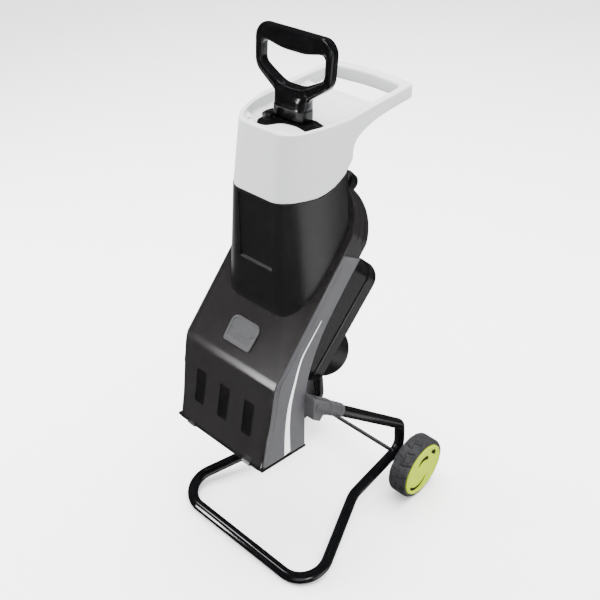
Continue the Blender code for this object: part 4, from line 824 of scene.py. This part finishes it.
lean0 = math.atan2(knee[0] - LIP_Y, knee[1] - LIP_Z)
for nm, s in (("right", 1), ("left", -1)):
    a, b = (R_OUT + GAP, HALF_W) if s > 0 else (-HALF_W, -R_OUT - GAP)
    rings = []
    for x, off in ((R_OUT + GAP, 0.0), (HALF_W - 0.0036, 0.0), (HALF_W - 0.0022, 0.0003), (HALF_W - 0.0012, 0.0010), (HALF_W - 0.0005, 0.0021),
                   (HALF_W - 0.0001, 0.0034), (HALF_W, 0.0046)):
        rings.append([(y, z, s * x) for y, z in set_back(panel_front, off) + panel_back])
    p = loft(nm + "_panel", rings, SIDE)
    a2, b2 = (HALF_W - 0.0012, HALF_W + 0.01) if s > 0 else (-HALF_W - 0.01, -HALF_W + 0.0012)
    inner = [(stripe_in[0][0], stripe_in[0][1] - 0.01)] + stripe_in + [(stripe_in[-1][0], stripe_in[-1][1] + 0.0012)]
    outer = [(stripe_out[0][0], stripe_out[0][1] - 0.01)] + stripe_out + [(stripe_out[-1][0], stripe_out[-1][1] + 0.0012)]
    grow = [(y - 0.0006, z) for y, z in inner] + [(y + 0.0006, z) for y, z in reversed(outer)]
    boolean(p, plate("seat", grow, a2, b2, SIDE))
    # flutes behind the rounded front edge
    for back, w, d, low in ((0.0066, 0.0022, 0.0010, 0.46), (0.0124, 0.0026, 0.0010, 0.43)):
        a4, b4 = (HALF_W - d, HALF_W + 0.01) if s > 0 else (-HALF_W - 0.01, -HALF_W + d)
        boolean(p, plate("flute", run_on(low, -0.030, back, w), a4, b4, SIDE))
        # a dark strip laid in each flute: painted shade along the groove
        a5, b5 = (HALF_W - d - 0.0004, HALF_W - d + 0.0003) if s > 0 else (-HALF_W + d - 0.0003, -HALF_W + d + 0.0004)
        extra(plate("flute_shade_strip", run_on(low, -0.030, back, w + 0.0006), a5, b5, SIDE), nm + "_side_panel", M_BLACK, "%s_flute_%d" % (nm, round(back * 1e4)))
    skin(rounded(clean(p), 0.0004, 2, 40), nm + "_side_panel", M_SIDE)
    a3, b3 = (HALF_W - 0.0009, HALF_W + 0.0004) if s > 0 else (-HALF_W - 0.0004, -HALF_W + 0.0009)
    st = plate(nm + "_band", stripe_in + list(reversed(stripe_out)), a3, b3, SIDE)
    skin(rounded(st, 0.0004, 2, 30), nm + "_stripe", M_SILVER)

# ================================================================= sockets
for nm, s in (("right", 1), ("left", -1)):
    cx = s * ARM_X
    ob = box("socket", (cx - 0.0170, -0.0280, -0.0370), (cx + 0.0150, 0.0135, 0.0340), ARMF, bevel=0.003, segs=4)
    boolean(ob, cyl("core", 0.0168, 0.0168, -0.20, 0.0005, ARMF, (cx, 0), segs=64))
    prof = fillet([(0.0168, 0.0018), (0.0168, -0.0420), (0.0150, -0.0700), (0.0144, -0.0970), (0.0154, -0.0985), (0.0154, -0.1120),
                   (0.0144, -0.1130), (TUBE_R + GAP, -0.1130), (TUBE_R + GAP, 0.0004), (0.0, 0.0004), (0.0, 0.0018)],
                  [0, 0.01, 0.01, 0.001, 0.001, 0.0012, 0.0006, 0, 0, 0, 0], 4)
    boolean(ob, turned("sleeve", prof, ARMF @ Matrix.Translation((cx, 0, 0)), 64), 'UNION')
    # ribs along the sleeve
    for k in range(6):
        a = math.radians(60 * k + 30)
        rib = box("rib", (0.0138, -0.0011, -0.0930), (0.0160, 0.0011, -0.0600), ARMF @ Matrix.Translation((cx, 0, 0)) @ Matrix.Rotation(a, 4, 'Z'), bevel=0.0005, segs=2)
        boolean(ob, rib, 'UNION')
    # collars round the mouth
    for z0, z1, r in ((-0.0460, -0.0425, 0.0178), (-0.0540, -0.0515, 0.0170)):
        ring_p = fillet([(0.0140, z0), (r, z0), (r, z1), (0.0140, z1)], [0, 0.0008, 0.0008, 0], 3)
        boolean(ob, turned("collar", ring_p, ARMF @ Matrix.Translation((cx, 0, 0)), 64), 'UNION')
    boolean(ob, plate("body_room", body_outline(0.0, -GAP, (0.30, 0.30)), -0.20, 0.20, SIDE))
    skin(rounded(clean(ob), 0.0007, 2, 34), nm + "_socket", M_SOCKET)

# ================================================================= front cover
cov = fillet([(LIP_Y, LIP_Z + 0.0030), (knee[0], knee[1]), sl(HALF_W + 0.005, FRONT_N)], [0, KNEE_R, 0], 32, closed=False)
cov_in = fillet([(LIP_Y + COVER_T, LIP_Z + 0.0030), (knee[0] + COVER_T, knee[1] - 0.0012),
                 sl(HALF_W + 0.005, FRONT_N + COVER_T)], [0, KNEE_R - 0.0035, 0], 32, closed=False)
cover = plate("cover", cov + list(reversed(cov_in)), -HALF_W - 0.01, HALF_W + 0.01, SIDE)
boolean(cover, plate("arch_trim", arch(ARCH_R, -0.70, HALF_W), -0.3, 0.3, SLOPE), 'INTERSECT')
tab = box("cover_tab", (-0.0165, 0.110, HOUSE_D - COVER_T), (0.0165, 0.1460, HOUSE_D), SLOPE, bevel=0.006, segs=6, only_z=True)
boolean(cover, tab, 'UNION')
boolean(cover, cyl("tab_hole", 0.0062, 0.0062, 0.03, 0.10, SLOPE, (0, STUD_T), segs=40))
throat = fillet([(-0.094, -0.050), (-0.094, 0.020), (-0.070, 0.050), (0.070, 0.050), (0.094, 0.020), (0.094, -0.050),
                 (0.062, -0.146), (-0.062, -0.146)], [0.02, 0.02, 0.02, 0.02, 0.02, 0.02, 0.015, 0.015], 8)
boolean(cover, plate("throat", throat, 0.02, 0.12, SLOPE))
lean = math.atan2(knee[0] - LIP_Y, knee[1] - LIP_Z)
FACE = ROOT @ Matrix.Translation((0, LIP_Y, LIP_Z)) @ turn(90, 'X') @ Matrix.Rotation(-lean, 4, 'X')
for s in (1, -1):
    boolean(cover, corner_cut(s))
for k in (-1, 0, 1):
    boolean(cover, box("pocket", (k * 0.0669 - 0.0130, 0.0560, -0.0022), (k * 0.0669 + 0.0130, 0.1320, 0.02), FACE, bevel=0.0014, segs=3, only_z=True))
for i, k in enumerate((-1, 0, 1)):
    mid = k * 0.0669
    hole = fillet([(mid - 0.0127, 0.0563), (mid + 0.0127, 0.0563), (mid + 0.0127, 0.1317), (mid - 0.0127, 0.1317)], 0.0012, 3)
    lip = fillet([(mid - 0.0142, 0.0548), (mid + 0.0142, 0.0548), (mid + 0.0142, 0.1332), (mid - 0.0142, 0.1332)], 0.0022, 4)
    extra(rounded(plate("pocket_lip", lip, -0.0004, 0.0007, FACE, holes=(hole,)), 0.0004, 2, 30), "front_cover", M_COVER, "pocket_lip_%d" % i)
    # a near-black sheet on each pocket's floor: painted shade, so the shallow pocket reads as a deep dark vent
    fl = plate("pocket_floor", [(x * 0.99 + mid * 0.01, y) for x, y in hole], -0.00215, -0.0017, FACE)
    boolean(fl, box("pocket_step", (mid - 0.0110, 0.0880, -0.0018), (mid + 0.0110, 0.0905, -0.0006), FACE, bevel=0.0003, segs=2), 'UNION')
    extra(rounded(fl, 0.0003, 2, 30), "front_cover", M_RECESS_SHADE, "pocket_floor_%d" % i)
hinge_y, hinge_z = LIP_Y - 0.0008, LIP_Z - 0.0008
boolean(cover, box("cover_return", (-HALF_W + 0.0090, LIP_Y + 0.0020, LIP_Z - 0.0030), (HALF_W - 0.0090, LIP_Y + COVER_T - 0.0001, LIP_Z + 0.0042), ROOT), 'UNION')
for x in (-0.080, 0.080):
    kn = cyl("knuckle", 0.0050, 0.0050, x - 0.010, x + 0.010, ROOT, (hinge_y, hinge_z), 'X', 40)
    web = box("knuckle_web", (x - 0.010, LIP_Y + 0.0001, hinge_z), (x + 0.010, LIP_Y + COVER_T, LIP_Z + 0.012), ROOT)
    boolean(cover, kn, 'UNION')
    boolean(cover, web, 'UNION')
boolean(cover, cyl("rod_bore", 0.0028, 0.0028, -0.12, 0.12, ROOT, (hinge_y, hinge_z), 'X', 32))
skin(rounded(clean(cover), 0.0007, 3, 28), "front_cover", M_COVER)

# the bare plaque: a raised frame round a lower field
badge = fillet([(-0.0345, -0.2530), (0.0345, -0.2530), (0.0365, -0.1990), (-0.0365, -0.1990)], [0.006, 0.006, 0.014, 0.014], 10)
plaque = plate("plaque", badge, HOUSE_D + GAP, HOUSE_D + 0.0035, SLOPE)
field = fillet([(-0.0300, -0.2440), (0.0300, -0.2440), (0.0325, -0.2030), (-0.0325, -0.2030)], [0.0045, 0.0045, 0.011, 0.011], 10)
boolean(plaque, plate("field", field, HOUSE_D + 0.0020, HOUSE_D + 0.02, SLOPE))
bow = catmull([(-0.0290, -0.2200), (-0.0200, -0.2262), (0.0, -0.2292), (0.0200, -0.2262), (0.0290, -0.2200)], 6)
boolean(plaque, plate("bow", bow + [(x, y - 0.0022) for x, y in reversed(bow)], HOUSE_D + 0.0015, HOUSE_D + 0.0031, SLOPE), 'UNION')
skin(rounded(plaque, 0.0007, 3, 30), "badge_plate", M_BADGE)


# ================================================================= feed chute
def chute_ring(z, off=0.0, n=24):
    k = (0.860 - z) / 0.240
    k = max(-0.1, min(1.1, k))
    yf = -0.0655 - 0.0030 * k + off
    f = 0.038 + 0.008 * k - off * 0.4
    w = 0.1000 + 0.0195 * k - off
    ys = 0.052 - 0.010 * k
    yb = 0.0835 - off
    kc = max(0.0, min(1.0, k))
    right = [(f, yf)] + bez((f, yf), (f + 0.030 + 0.004 * kc, yf), (w - 0.008 + 0.007 * kc, -0.030 - 0.018 * kc + off * 0.5), (w, ys), n)[1:]
    right += [(w, yb - 0.022)] + arc(w - 0.022, yb - 0.022, 0.022, 0, 90, 8)[1:]
    left = [(-x, y) for x, y in reversed(right)]
    return [(x, y, z) for x, y in right + left]


seam = [(-0.080, 0.8515), (0.0, 0.8525)] + bez((0.0, 0.8525), (0.030, 0.8560), (0.055, 0.8700), (0.0800, 0.9000), 14)[1:]
zs = [0.560 + 0.370 * i / 14 for i in range(15)]
chute = loft("chute", [chute_ring(z) for z in zs], ROOT)
boolean(chute, box("below_slope", (-0.3, -0.5, -0.5), (0.3, 0.5, HOUSE_D + GAP), SLOPE))
boolean(chute, plate("above_seam", [(y, z - 0.0006) for y, z in [(-0.15, 0.8515)] + seam[1:] + [(0.15, 0.96)]] + [(0.15, 1.2), (-0.15, 1.2)], -0.2, 0.2, SIDE))
boolean(chute, loft("chute_core", [chute_ring(0.540 + 0.40 * i / 12, WALL) for i in range(13)], ROOT))
yr = -0.0655
boolean(chute, plate("facet", [(-0.10, 0.716), (-0.10, 0.8450), (yr + 0.0022, 0.8450), (yr + 0.0014, 0.716), (yr - 0.010, 0.700)],
                     -0.0405, 0.0405, SIDE))
skin(rounded(chute, 0.0006, 2, 24), "feed_chute", M_BLACK)


# ================================================================= hopper
def hopper_ring(z, off=0.0, n=26):
    k = (0.975 - z) / 0.125
    yf = -0.0460 - 0.0200 * k + off
    f = 0.036 + 0.002 * k - off * 0.4
    w = 0.1005 + 0.0005 * k - off
    ys = 0.066 - 0.014 * k
    right = [(f, yf)] + bez((f, yf), (f + 0.028, yf), (w - 0.013 + 0.003 * k, -0.016 - 0.016 * k + off * 0.5), (w, ys), n)[1:]
    yb = 0.2560 - off
    right += [(w - 0.001, 0.160), (w - 0.0025, yb - 0.012)] + arc(w - 0.0115, yb - 0.012, 0.009, 0, 90, 8)[1:] + [(0.060, yb + 0.0010), (0.040, yb + 0.0037), (0.020, yb + 0.0055)]
    left = [(-x, y) for x, y in reversed(right)]
    return [(x, y, z) for x, y in right + left]


def rim(y):
    return RIM_Z0 + RIM_K * y


hopper = loft("hopper_body", [hopper_ring(z) for z in (0.835, 0.858, 0.880, 0.903, 0.925, 0.968, 1.010)], ROOT)
prof = seam + bez((0.0820, 0.9030), (0.0790, 0.9330), (0.090, 0.9440), (0.1513, 0.9574), 18) + \
       [(0.270, 0.9640), (0.270, rim(0.270)), (-0.080, rim(-0.080))]
boolean(hopper, plate("hopper_side", prof, -0.12, 0.12, SIDE), 'INTERSECT')
hollow = loft("hopper_hollow", [hopper_ring(z, 0.0032) for z in (0.830, 0.925, 0.9510)], ROOT)
boolean(hollow, plate("hollow_side", fillet([(-0.080, 0.80), (0.0770, 0.80), (0.0770, 0.9300), (0.0600, 0.9505), (-0.080, 0.9505)], [0, 0, 0.01, 0.01, 0], 6), -0.12, 0.12, SIDE), 'INTERSECT')
boolean(hopper, hollow)
edge_pts = [(-0.0855, 0.0160), (-0.0800, 0.0000), (-0.0580, -0.0085), (-0.0415, -0.0215), (-0.0240, -0.0300), (-0.0060, -0.0260),
            (0.0030, -0.0100), (0.0120, -0.0010), (0.0335, 0.0036), (0.0530, 0.0010), (0.0700, -0.0040), (0.0800, -0.0010), (0.0855, 0.0080)]
bowl = plate("bowl", catmull(edge_pts, 5) + [(0.0855, 0.1700), (-0.0855, 0.1700)], 0.90, 1.10, ROOT)
bowl_side = [(-0.06, FLOOR_Z), (0.0500, FLOOR_Z), (0.1560, 0.9700), (0.1563, 0.9722), (0.1750, 0.9722), (0.1750, 1.2), (-0.06, 1.2)]
boolean(bowl, plate("bowl_side", bowl_side, -0.12, 0.12, SIDE), 'INTERSECT')
boolean(bowl, plate("deck", [(-0.0848, 0.0310), (-0.0848, -0.0700), (0.0848, -0.0700), (0.0848, 0.0310)], 0.9680, 1.15, ROOT), 'UNION')
boolean(bowl, loft("rim_room", [hopper_ring(z, 0.0095) for z in (0.925, 1.020)], ROOT), 'INTERSECT')
boolean(hopper, bowl)
boolean(hopper, box("throat_cut", (-0.0560, 0.0075, 0.80), (0.0560, 0.0465, 1.05), ROOT, bevel=0.008, segs=4, only_z=True))
grip = fillet([(-0.0850, 0.1692), (0.0850, 0.1692), (0.0830, 0.2310), (0.0200, 0.2385), (-0.0200, 0.2385), (-0.0830, 0.2310)],
              [0.004, 0.004, 0.014, 0.03, 0.03, 0.014], 8)
boolean(hopper, plate("grip_gap", grip, 0.90, 1.05, ROOT))
soften(hopper, 0.0014, 10, rear=(0.165 - MID_Y, 0.215 - MID_Y, 60))
edge2 = [(-0.0600, 0.0290), (-0.0560, 0.0140), (-0.0440, 0.0040), (-0.0425, -0.0080), (-0.0350, -0.0195), (-0.0240, -0.0265), (-0.0085, -0.0240),
         (-0.0005, -0.0085), (0.0105, 0.0010), (0.0335, 0.0054), (0.0530, 0.0030)]
plate_out = catmull(edge2, 5) + fillet([(0.0530, 0.0030), (0.0650, 0.0010), (0.0660, 0.0440), (0.0400, 0.0520), (-0.0400, 0.0520), (-0.0560, 0.0480), (-0.0600, 0.0290)],
                                       [0, 0.002, 0.006, 0.01, 0.01, 0.01, 0], 5, closed=False)[1:-1]
seat = [(x + 0.0007 * math.copysign(1, x), y) for x, y in plate_out]
boolean(hopper, plate("plate_seat", seat, FLOOR_Z - 0.0001, 0.9900, ROOT @ Matrix.Translation((0, -0.0007, 0))))
boolean(hopper, cyl("tether_hole", 0.0034, 0.0034, 0.9600, 1.0, ROOT, (-0.0475, -0.0250), segs=32))
skin(hopper, "hopper", M_WHITE)


# ================================================================= plunger
def pz(z):
    return z - 1.0


g_out = [(-0.0370, pz(0.9880)), (0.0370, pz(0.9880)), (0.0385, pz(1.0045)), (0.0860, pz(1.0370)), (0.0880, pz(1.1150)),
         (-0.0880, pz(1.1150)), (-0.0860, pz(1.0370)), (-0.0385, pz(1.0045))]
g_rad = [0, 0, 0.014, 0.028, 0.024, 0.024, 0.028, 0.014]
grip_out = fillet(g_out, g_rad, 10)
grip_in = fillet([(-0.0720, pz(1.0480)), (-0.0240, pz(1.0235)), (0.0240, pz(1.0235)), (0.0720, pz(1.0480)), (0.0715, pz(1.0890)),
                  (0.0250, pz(1.0785)), (-0.0250, pz(1.0785)), (-0.0715, pz(1.0890))],
                 [0.014, 0.06, 0.06, 0.014, 0.010, 0.09, 0.09, 0.010], 10)


def seen_from(c, line, n):
    """The outline's points at n equal angles round a point inside it."""
    out = []
    for i in range(n):
        q = 2 * math.pi * i / n
        dx, dy = math.cos(q), math.sin(q)
        best = 0.0
        for (x0, y0), (x1, y1) in zip(line, line[1:] + line[:1]):
            ex, ey = x1 - x0, y1 - y0
            det = ex * dy - ey * dx
            if abs(det) < 1e-12:
                continue
            u = ((c[0] - x0) * dy - (c[1] - y0) * dx) / det
            v = ((c[0] - x0) * ey - (c[1] - y0) * ex) / det
            if -1e-9 <= u <= 1 + 1e-9 and v > best:
                best = v
        out.append((c[0] + dx * best, c[1] + dy * best))
    return out


def bar_loop(name, outer, inner, half, mat, n=240, m=40, power=0.62):
    """A closed loop of rounded bar between two outlines."""
    c = (0.0, pz(1.0560))
    oo, ii = seen_from(c, outer, n), seen_from(c, inner, n)
    bm = bmesh.new()
    vs = []
    for i in range(n):
        row = []
        for j in range(m):
            q = 2 * math.pi * (j + 0.5) / m
            u = 0.5 + 0.5 * math.copysign(abs(math.cos(q)) ** power, math.cos(q))
            z = half * math.copysign(abs(math.sin(q)) ** power, math.sin(q))
            row.append(bm.verts.new((ii[i][0] + (oo[i][0] - ii[i][0]) * u, ii[i][1] + (oo[i][1] - ii[i][1]) * u, z)))
        vs.append(row)
    for i in range(n):
        for j in range(m):
            bm.faces.new((vs[i][j], vs[(i + 1) % n][j], vs[(i + 1) % n][(j + 1) % m], vs[i][(j + 1) % m]))
    return mesh_object(name, bm, mat, recalc=True)


g = bar_loop("grip_loop", grip_out, grip_in, 0.0108, PUSH_UP)
# a channel runs round both faces between the two rolled edges
mid_c = (0.0, pz(1.0560))
oo, ii = seen_from(mid_c, grip_out, 240), seen_from(mid_c, grip_in, 240)


def between(u0, edge=None):
    """An outline a part of the way from the loop's inner edge to its outer one, no further from either than stated."""
    out = []
    for p, q in zip(ii, oo):
        wide = math.hypot(q[0] - p[0], q[1] - p[1])
        u = u0 * wide if edge is None else (min(u0 * wide, edge) if u0 < 0.5 else max(u0 * wide, wide - edge))
        out.append((p[0] + (q[0] - p[0]) * u / wide, p[1] + (q[1] - p[1]) * u / wide))
    return out


for z0, z1 in ((0.0084, 0.02), (-0.02, -0.0084)):
    boolean(g, plate("groove", between(0.72, 0.0052), z0, z1, PUSH_UP, holes=(between(0.30, 0.0046),)))
rings = []
for z, a, b in ((pz(0.9660), 0.0374, 0.0174), (pz(0.9848), 0.0371, 0.0170), (pz(0.9854), 0.0365, 0.0164), (pz(0.9990), 0.0364, 0.0156),
                (pz(1.0060), 0.0385, 0.0136), (pz(1.0120), 0.0430, 0.0096)):
    rings.append([(a * math.copysign(abs(math.cos(q)) ** 0.42, math.cos(q)), b * math.copysign(abs(math.sin(q)) ** 0.42, math.sin(q)), z)
                  for q in [2 * math.pi * i / 96 for i in range(96)]])
boolean(g, loft("neck", rings, PUSH), 'UNION')
soften(g, 0.0008, 4)
skin(g, "plunger_grip", M_GLOSS)

pl = plate("push_plate", plate_out, FLOOR_Z + GAP, 0.9640, ROOT)
shaft = box("push_shaft", (-0.0535, -0.0235, pz(0.8020)), (0.0535, 0.0090, pz(0.9600)), PUSH, bevel=0.006, segs=4, only_z=True)
boolean(shaft, box("plate_top", (-0.2, -0.2, 0.9620), (0.2, 0.2, 1.1), ROOT))
boolean(pl, shaft, 'UNION')
boolean(pl, bevelled(cyl("boss", 0.0088, 0.0080, 0.9600, 0.9770, ROOT, (-0.0290, 0.0035)), 0.0026, 4), 'UNION')
for x in (0.0500, 0.0570, 0.0640):
    boolean(pl, box("tab_rib", (x - 0.0011, 0.0080, 0.9630), (x + 0.0011, 0.0360, 0.9658), ROOT, bevel=0.0006, segs=2), 'UNION')
soften(pl, 0.0009, 3)
skin(pl, "plunger_plate", M_GLOSS)

# ================================================================= locking knob
kp = fillet([(0.0, 0.0690), (0.0040, 0.0690), (0.0040, -0.0003), (0.0105, -0.0003), (0.0105, -0.0060), (0.0200, -0.0070),
             (0.0212, -0.0090), (0.0212, -0.0260), (0.0185, -0.0300), (0.0, -0.0310)],
            [0, 0.0006, 0, 0.001, 0.001, 0.001, 0.001, 0.003, 0.003, 0], 4)
knob = turned("knob", kp, SLOPE @ Matrix.Translation((0, STUD_T, 0)), 96)
for k in range(5):
    a = math.radians(72 * k)
    boolean(knob, cyl("flute", 0.0065, 0.0065, -0.04, -0.0066, SLOPE, (0.0250 * math.cos(a), STUD_T + 0.0250 * math.sin(a)), segs=40))
skin(rounded(clean(knob), 0.0008, 3, 34), "locking_knob", M_GLOSS)


# ================================================================= motor and drive casing
def casing(off, n=14):
    t0, t1 = MOTOR_BOT_T + off, MOTOR_TOP_T - off
    return fillet([(-(MOTOR_BOT_W - off), t0), (MOTOR_BOT_W - off, t0), (MOTOR_TOP_W - off, t1), (-(MOTOR_TOP_W - off), t1)],
                  [0.030 - off, 0.030 - off, 0.034 - off, 0.034 - off], n)


dc = plate("casing", casing(0.0), -SEAM_N, -GAP, SLOPE, holes=(casing(WALL),))
boolean(dc, plate("lower_body2", body_outline(0.0, -GAP, (0.30, 0.30)), -0.2, 0.2, SIDE))
skin(rounded(clean(dc), 0.0008, 3, 30), "drive_casing", M_GLOSS)

# the cover's back edge is well rounded: rings of the outline, stepped inwards round a 6 mm radius
rings = []
R6 = 0.0060
for z, off in [(-SEAM_N - GAP, 0.0006), (-SEAM_N - GAP - 0.0005, 0.0)] + [(-BACK_N + R6 * (1 - math.sin(math.radians(q))), R6 * (1 - math.cos(math.radians(q)))) for q in range(0, 91, 10)]:
    rings.append([(x, y, z) for x, y in casing(-0.0025 + off)])
mc = loft("motor_slab", rings, SLOPE)
boolean(mc, plate("cover_room", casing(WALL), -BACK_N + WALL, -SEAM_N + 0.02, SLOPE))
boolean(mc, cyl("can_hole", CAN_R - 0.006, CAN_R - 0.006, -0.3, -0.05, SLOPE, (0, BELT_T), segs=128))
SW_T, RESET_T, INLET_T = -0.030, -0.075, -0.1040
boolean(mc, box("rocker_hole", (-0.0405, SW_T - 0.0160, -0.3), (-0.0105, SW_T + 0.0160, -0.05), SLOPE))
boolean(mc, cyl("reset_hole", 0.0085, 0.0085, -0.3, -0.05, SLOPE, (-0.0255, RESET_T), segs=48))
boolean(mc, box("inlet_hole", (0.0120, -0.0700, -0.3), (0.0560, -0.0180, -0.05), SLOPE))
skin(smooth_by_angle(mc, 30), "motor_cover", M_GLOSS)

ec = fillet([(CAN_R, -BACK_N - GAP), (CAN_R, -CAN_N + 0.026), (CAN_R - 0.005, -CAN_N + 0.012), (CAN_R - 0.018, -CAN_N + 0.002),
             (CAN_R - 0.034, -CAN_N), (0.0, -CAN_N), (0.0, -CAN_N + WALL), (CAN_R - 0.034, -CAN_N + WALL),
             (CAN_R - 0.020, -CAN_N + WALL + 0.003), (CAN_R - WALL - 0.004, -CAN_N + 0.016), (CAN_R - WALL, -CAN_N + 0.028),
             (CAN_R - WALL, -BACK_N - GAP)], [0, 0.03, 0.012, 0.012, 0.02, 0, 0, 0.01, 0.01, 0.01, 0.01, 0], 7)
cap = turned("can", ec, MOTOR, 128)
for k in range(6):
    boolean(cap, box("cap_vent", (0.018, -0.0022, -0.3), (0.036, 0.0022, -CAN_N + 0.02), MOTOR @ Matrix.Rotation(math.radians(60 * k + 30), 4, 'Z'), bevel=0.0015, segs=3, only_z=True))
skin(rounded(cap, 0.0005, 2, 40), "motor_end_cap", M_BLACK)

# ================================================================= CAD nodes that stay in view
for name, ob in NODES.items():
    if ob.hide_render:
        continue
    dress(ob, LOOK[SLOT_OF[name]])
    if name.startswith("inlet_pin"):
        dress(ob, M_CONTACT)
    if name in ("outlet_frame", "cover_hinge_rod"):
        dress(ob, M_DULL)
    small = name.startswith(("blade_screw", "inlet_pin", "cover_hinge", "switch", "reset"))
    rounded(ob, 0.0003 if small else 0.0006, 2, 34)

# ================================================================= studio
def stage_plane(name, size, z, colour, rough):
    bm = bmesh.new()
    bmesh.ops.create_grid(bm, x_segments=2, y_segments=2, size=size)
    ob = mesh_object(name, bm, Matrix.Translation((0, 0, z)), recalc=False)
    m = Mat(name + "_paper")
    c = m.ramp(m.noise(0.8, 3.0), [(0.3, tint(colour, 0.99)), (0.7, colour)])
    m.out(c, None, None, Roughness=rough)
    dress(ob, m.m)
    return ob


def stage_tent(name, radius, height, bend, colour, rough):
    """A pale paper floor that curves up into walls and a ceiling."""
    prof = fillet([(0.0, 0.0), (radius, 0.0), (radius, height), (0.0, height)], [0, bend, bend * 0.7, 0], 20, closed=False)
    bm = bmesh.new()
    n = 96
    rows = []
    for r, z in prof:
        if r < 1e-6:
            rows.append([bm.verts.new((0, 0, z))])
        else:
            rows.append([bm.verts.new((r * math.cos(2 * math.pi * i / n), r * math.sin(2 * math.pi * i / n), z)) for i in range(n)])
    for a, b in zip(rows, rows[1:]):
        for i in range(n):
            j = (i + 1) % n
            if len(a) == 1:
                bm.faces.new((a[0], b[i], b[j]))
            elif len(b) == 1:
                bm.faces.new((a[i], a[j], b[0]))
            else:
                bm.faces.new((a[i], a[j], b[j], b[i]))
    ob = mesh_object(name, bm, Matrix.Identity(4), recalc=True)
    for p in ob.data.polygons:
        p.use_smooth = True
    m = Mat(name + "_paper")
    c = m.ramp(m.noise(0.8, 3.0), [(0.3, tint(colour, 0.99)), (0.7, colour)])
    m.out(c, None, None, Roughness=rough)
    dress(ob, m.m)
    return ob


floor = stage_tent("floor", 6.5, 4.6, 2.2, (0.90, 0.90, 0.90), 0.9)
floor.visible_glossy = False

# soft surroundings: a dim room with a few softboxes, each a direction, its inner and outer angle and its strength
world = bpy.data.worlds.new("studio")
scene.world = world
world.use_nodes = True
wt = world.node_tree
bg = wt.nodes["Background"]
wco = wt.nodes.new("ShaderNodeTexCoord")
ROOM = 0.045


def wmath(op, a, b=None, k=None):
    n = wt.nodes.new("ShaderNodeMath")
    n.operation = op
    for sock, v in ((n.inputs[0], a), (n.inputs[1], b)):
        if v is None:
            sock.default_value = k if k is not None else 0.0
        elif isinstance(v, (int, float)):
            sock.default_value = v
        else:
            wt.links.new(v, sock)
    return n.outputs[0]


def ease(v, lo, hi, top=1.0):
    mr = wt.nodes.new("ShaderNodeMapRange")
    mr.interpolation_type = 'SMOOTHSTEP'
    mr.inputs["From Min"].default_value = lo
    mr.inputs["From Max"].default_value = hi
    mr.inputs["To Max"].default_value = top
    wt.links.new(v, mr.inputs["Value"])
    return mr.outputs["Result"]


total = wmath('ADD', ROOM, 0.0)
for d, inner, outer, k in (((0.92, 0.12, -0.38), 6, 30, 1.9),      # low on the right
                           ((0.48, 0.61, -0.63), 4, 22, 0.6),      # low behind, on the right
                           ((-0.80, 0.20, -0.56), 5, 22, 1.0),     # low on the left
                           ((0.55, -0.80, 0.22), 6, 30, 1.3),     # in front
                           ((0.78, -0.54, 0.32), 3, 13, 7.0),      # beside the camera
                           ((-0.45, -0.10, 0.88), 3, 8, 16.0)):    # overhead
    v = Vector(d).normalized()
    dot = wt.nodes.new("ShaderNodeVectorMath")
    dot.operation = 'DOT_PRODUCT'
    wt.links.new(wco.outputs["Generated"], dot.inputs[0])
    dot.inputs[1].default_value = v
    total = wmath('ADD', total, ease(dot.outputs["Value"], math.cos(math.radians(outer)), math.cos(math.radians(inner)), k))
# a wedge-shaped softbox low in front, on the left
sep = wt.nodes.new("ShaderNodeSeparateXYZ")
wt.links.new(wco.outputs["Generated"], sep.inputs[0])
run = wmath('MULTIPLY', ease(sep.outputs["X"], -0.562, -0.536), wmath('SUBTRACT', 1.0, ease(sep.outputs["X"], -0.515, -0.465)))
tall = wmath('SUBTRACT', wmath('MULTIPLY', run, 0.42), 0.06)
off_mid = wmath('ABSOLUTE', wmath('SUBTRACT', sep.outputs["Z"], 0.16))
wedge = ease(wmath('SUBTRACT', tall, off_mid), 0.0, 0.16)
front = ease(wmath('MULTIPLY', sep.outputs["Y"], -1.0), 0.45, 0.60)
wedge = wmath('MULTIPLY', wmath('MULTIPLY', wedge, front), 36.0)
total = wmath('ADD', total, wedge)
bg.inputs["Color"].default_value = (1.0, 1.0, 1.0, 1)
wt.links.new(total, bg.inputs["Strength"])


def area(name, loc, target, size, watts, size_y=None):
    li = bpy.data.lights.new(name, 'AREA')
    li.shape = 'RECTANGLE'
    li.size = size
    li.size_y = size_y or size
    li.energy = watts
    ob = bpy.data.objects.new(name, li)
    scene.collection.objects.link(ob)
    ob.location = loc
    ob.rotation_mode = 'QUATERNION'
    ob.rotation_quaternion = (Vector(target) - Vector(loc)).to_track_quat('-Z', 'Y')
    ob.visible_camera = False
    return ob


top_light = area("top", (0.0, 0.6, 3.4), (0, 0.6, 0.0), 4.2, 720)
top_light.visible_glossy = False
left_light = area("left", (-2.1, -1.0, 1.5), (0, 0, 0.8), 1.2, 95, 1.6)
left_light.visible_glossy = False
right_light = area("right", (2.2, 0.9, 1.2), (0, 0, 0.7), 1.0, 12, 1.6)
right_light.visible_glossy = False

cam_data = bpy.data.cameras.new("photo")
cam_data.lens = 49.65
cam_data.sensor_width = 36
cam = bpy.data.objects.new("photo", cam_data)
scene.collection.objects.link(cam)
cam.location = (0.92838, -0.95331 - MID_Y, 1.53423)
cam.rotation_euler = (math.pi / 2 - 0.61522, 0, 0.74545)
scene.camera = cam
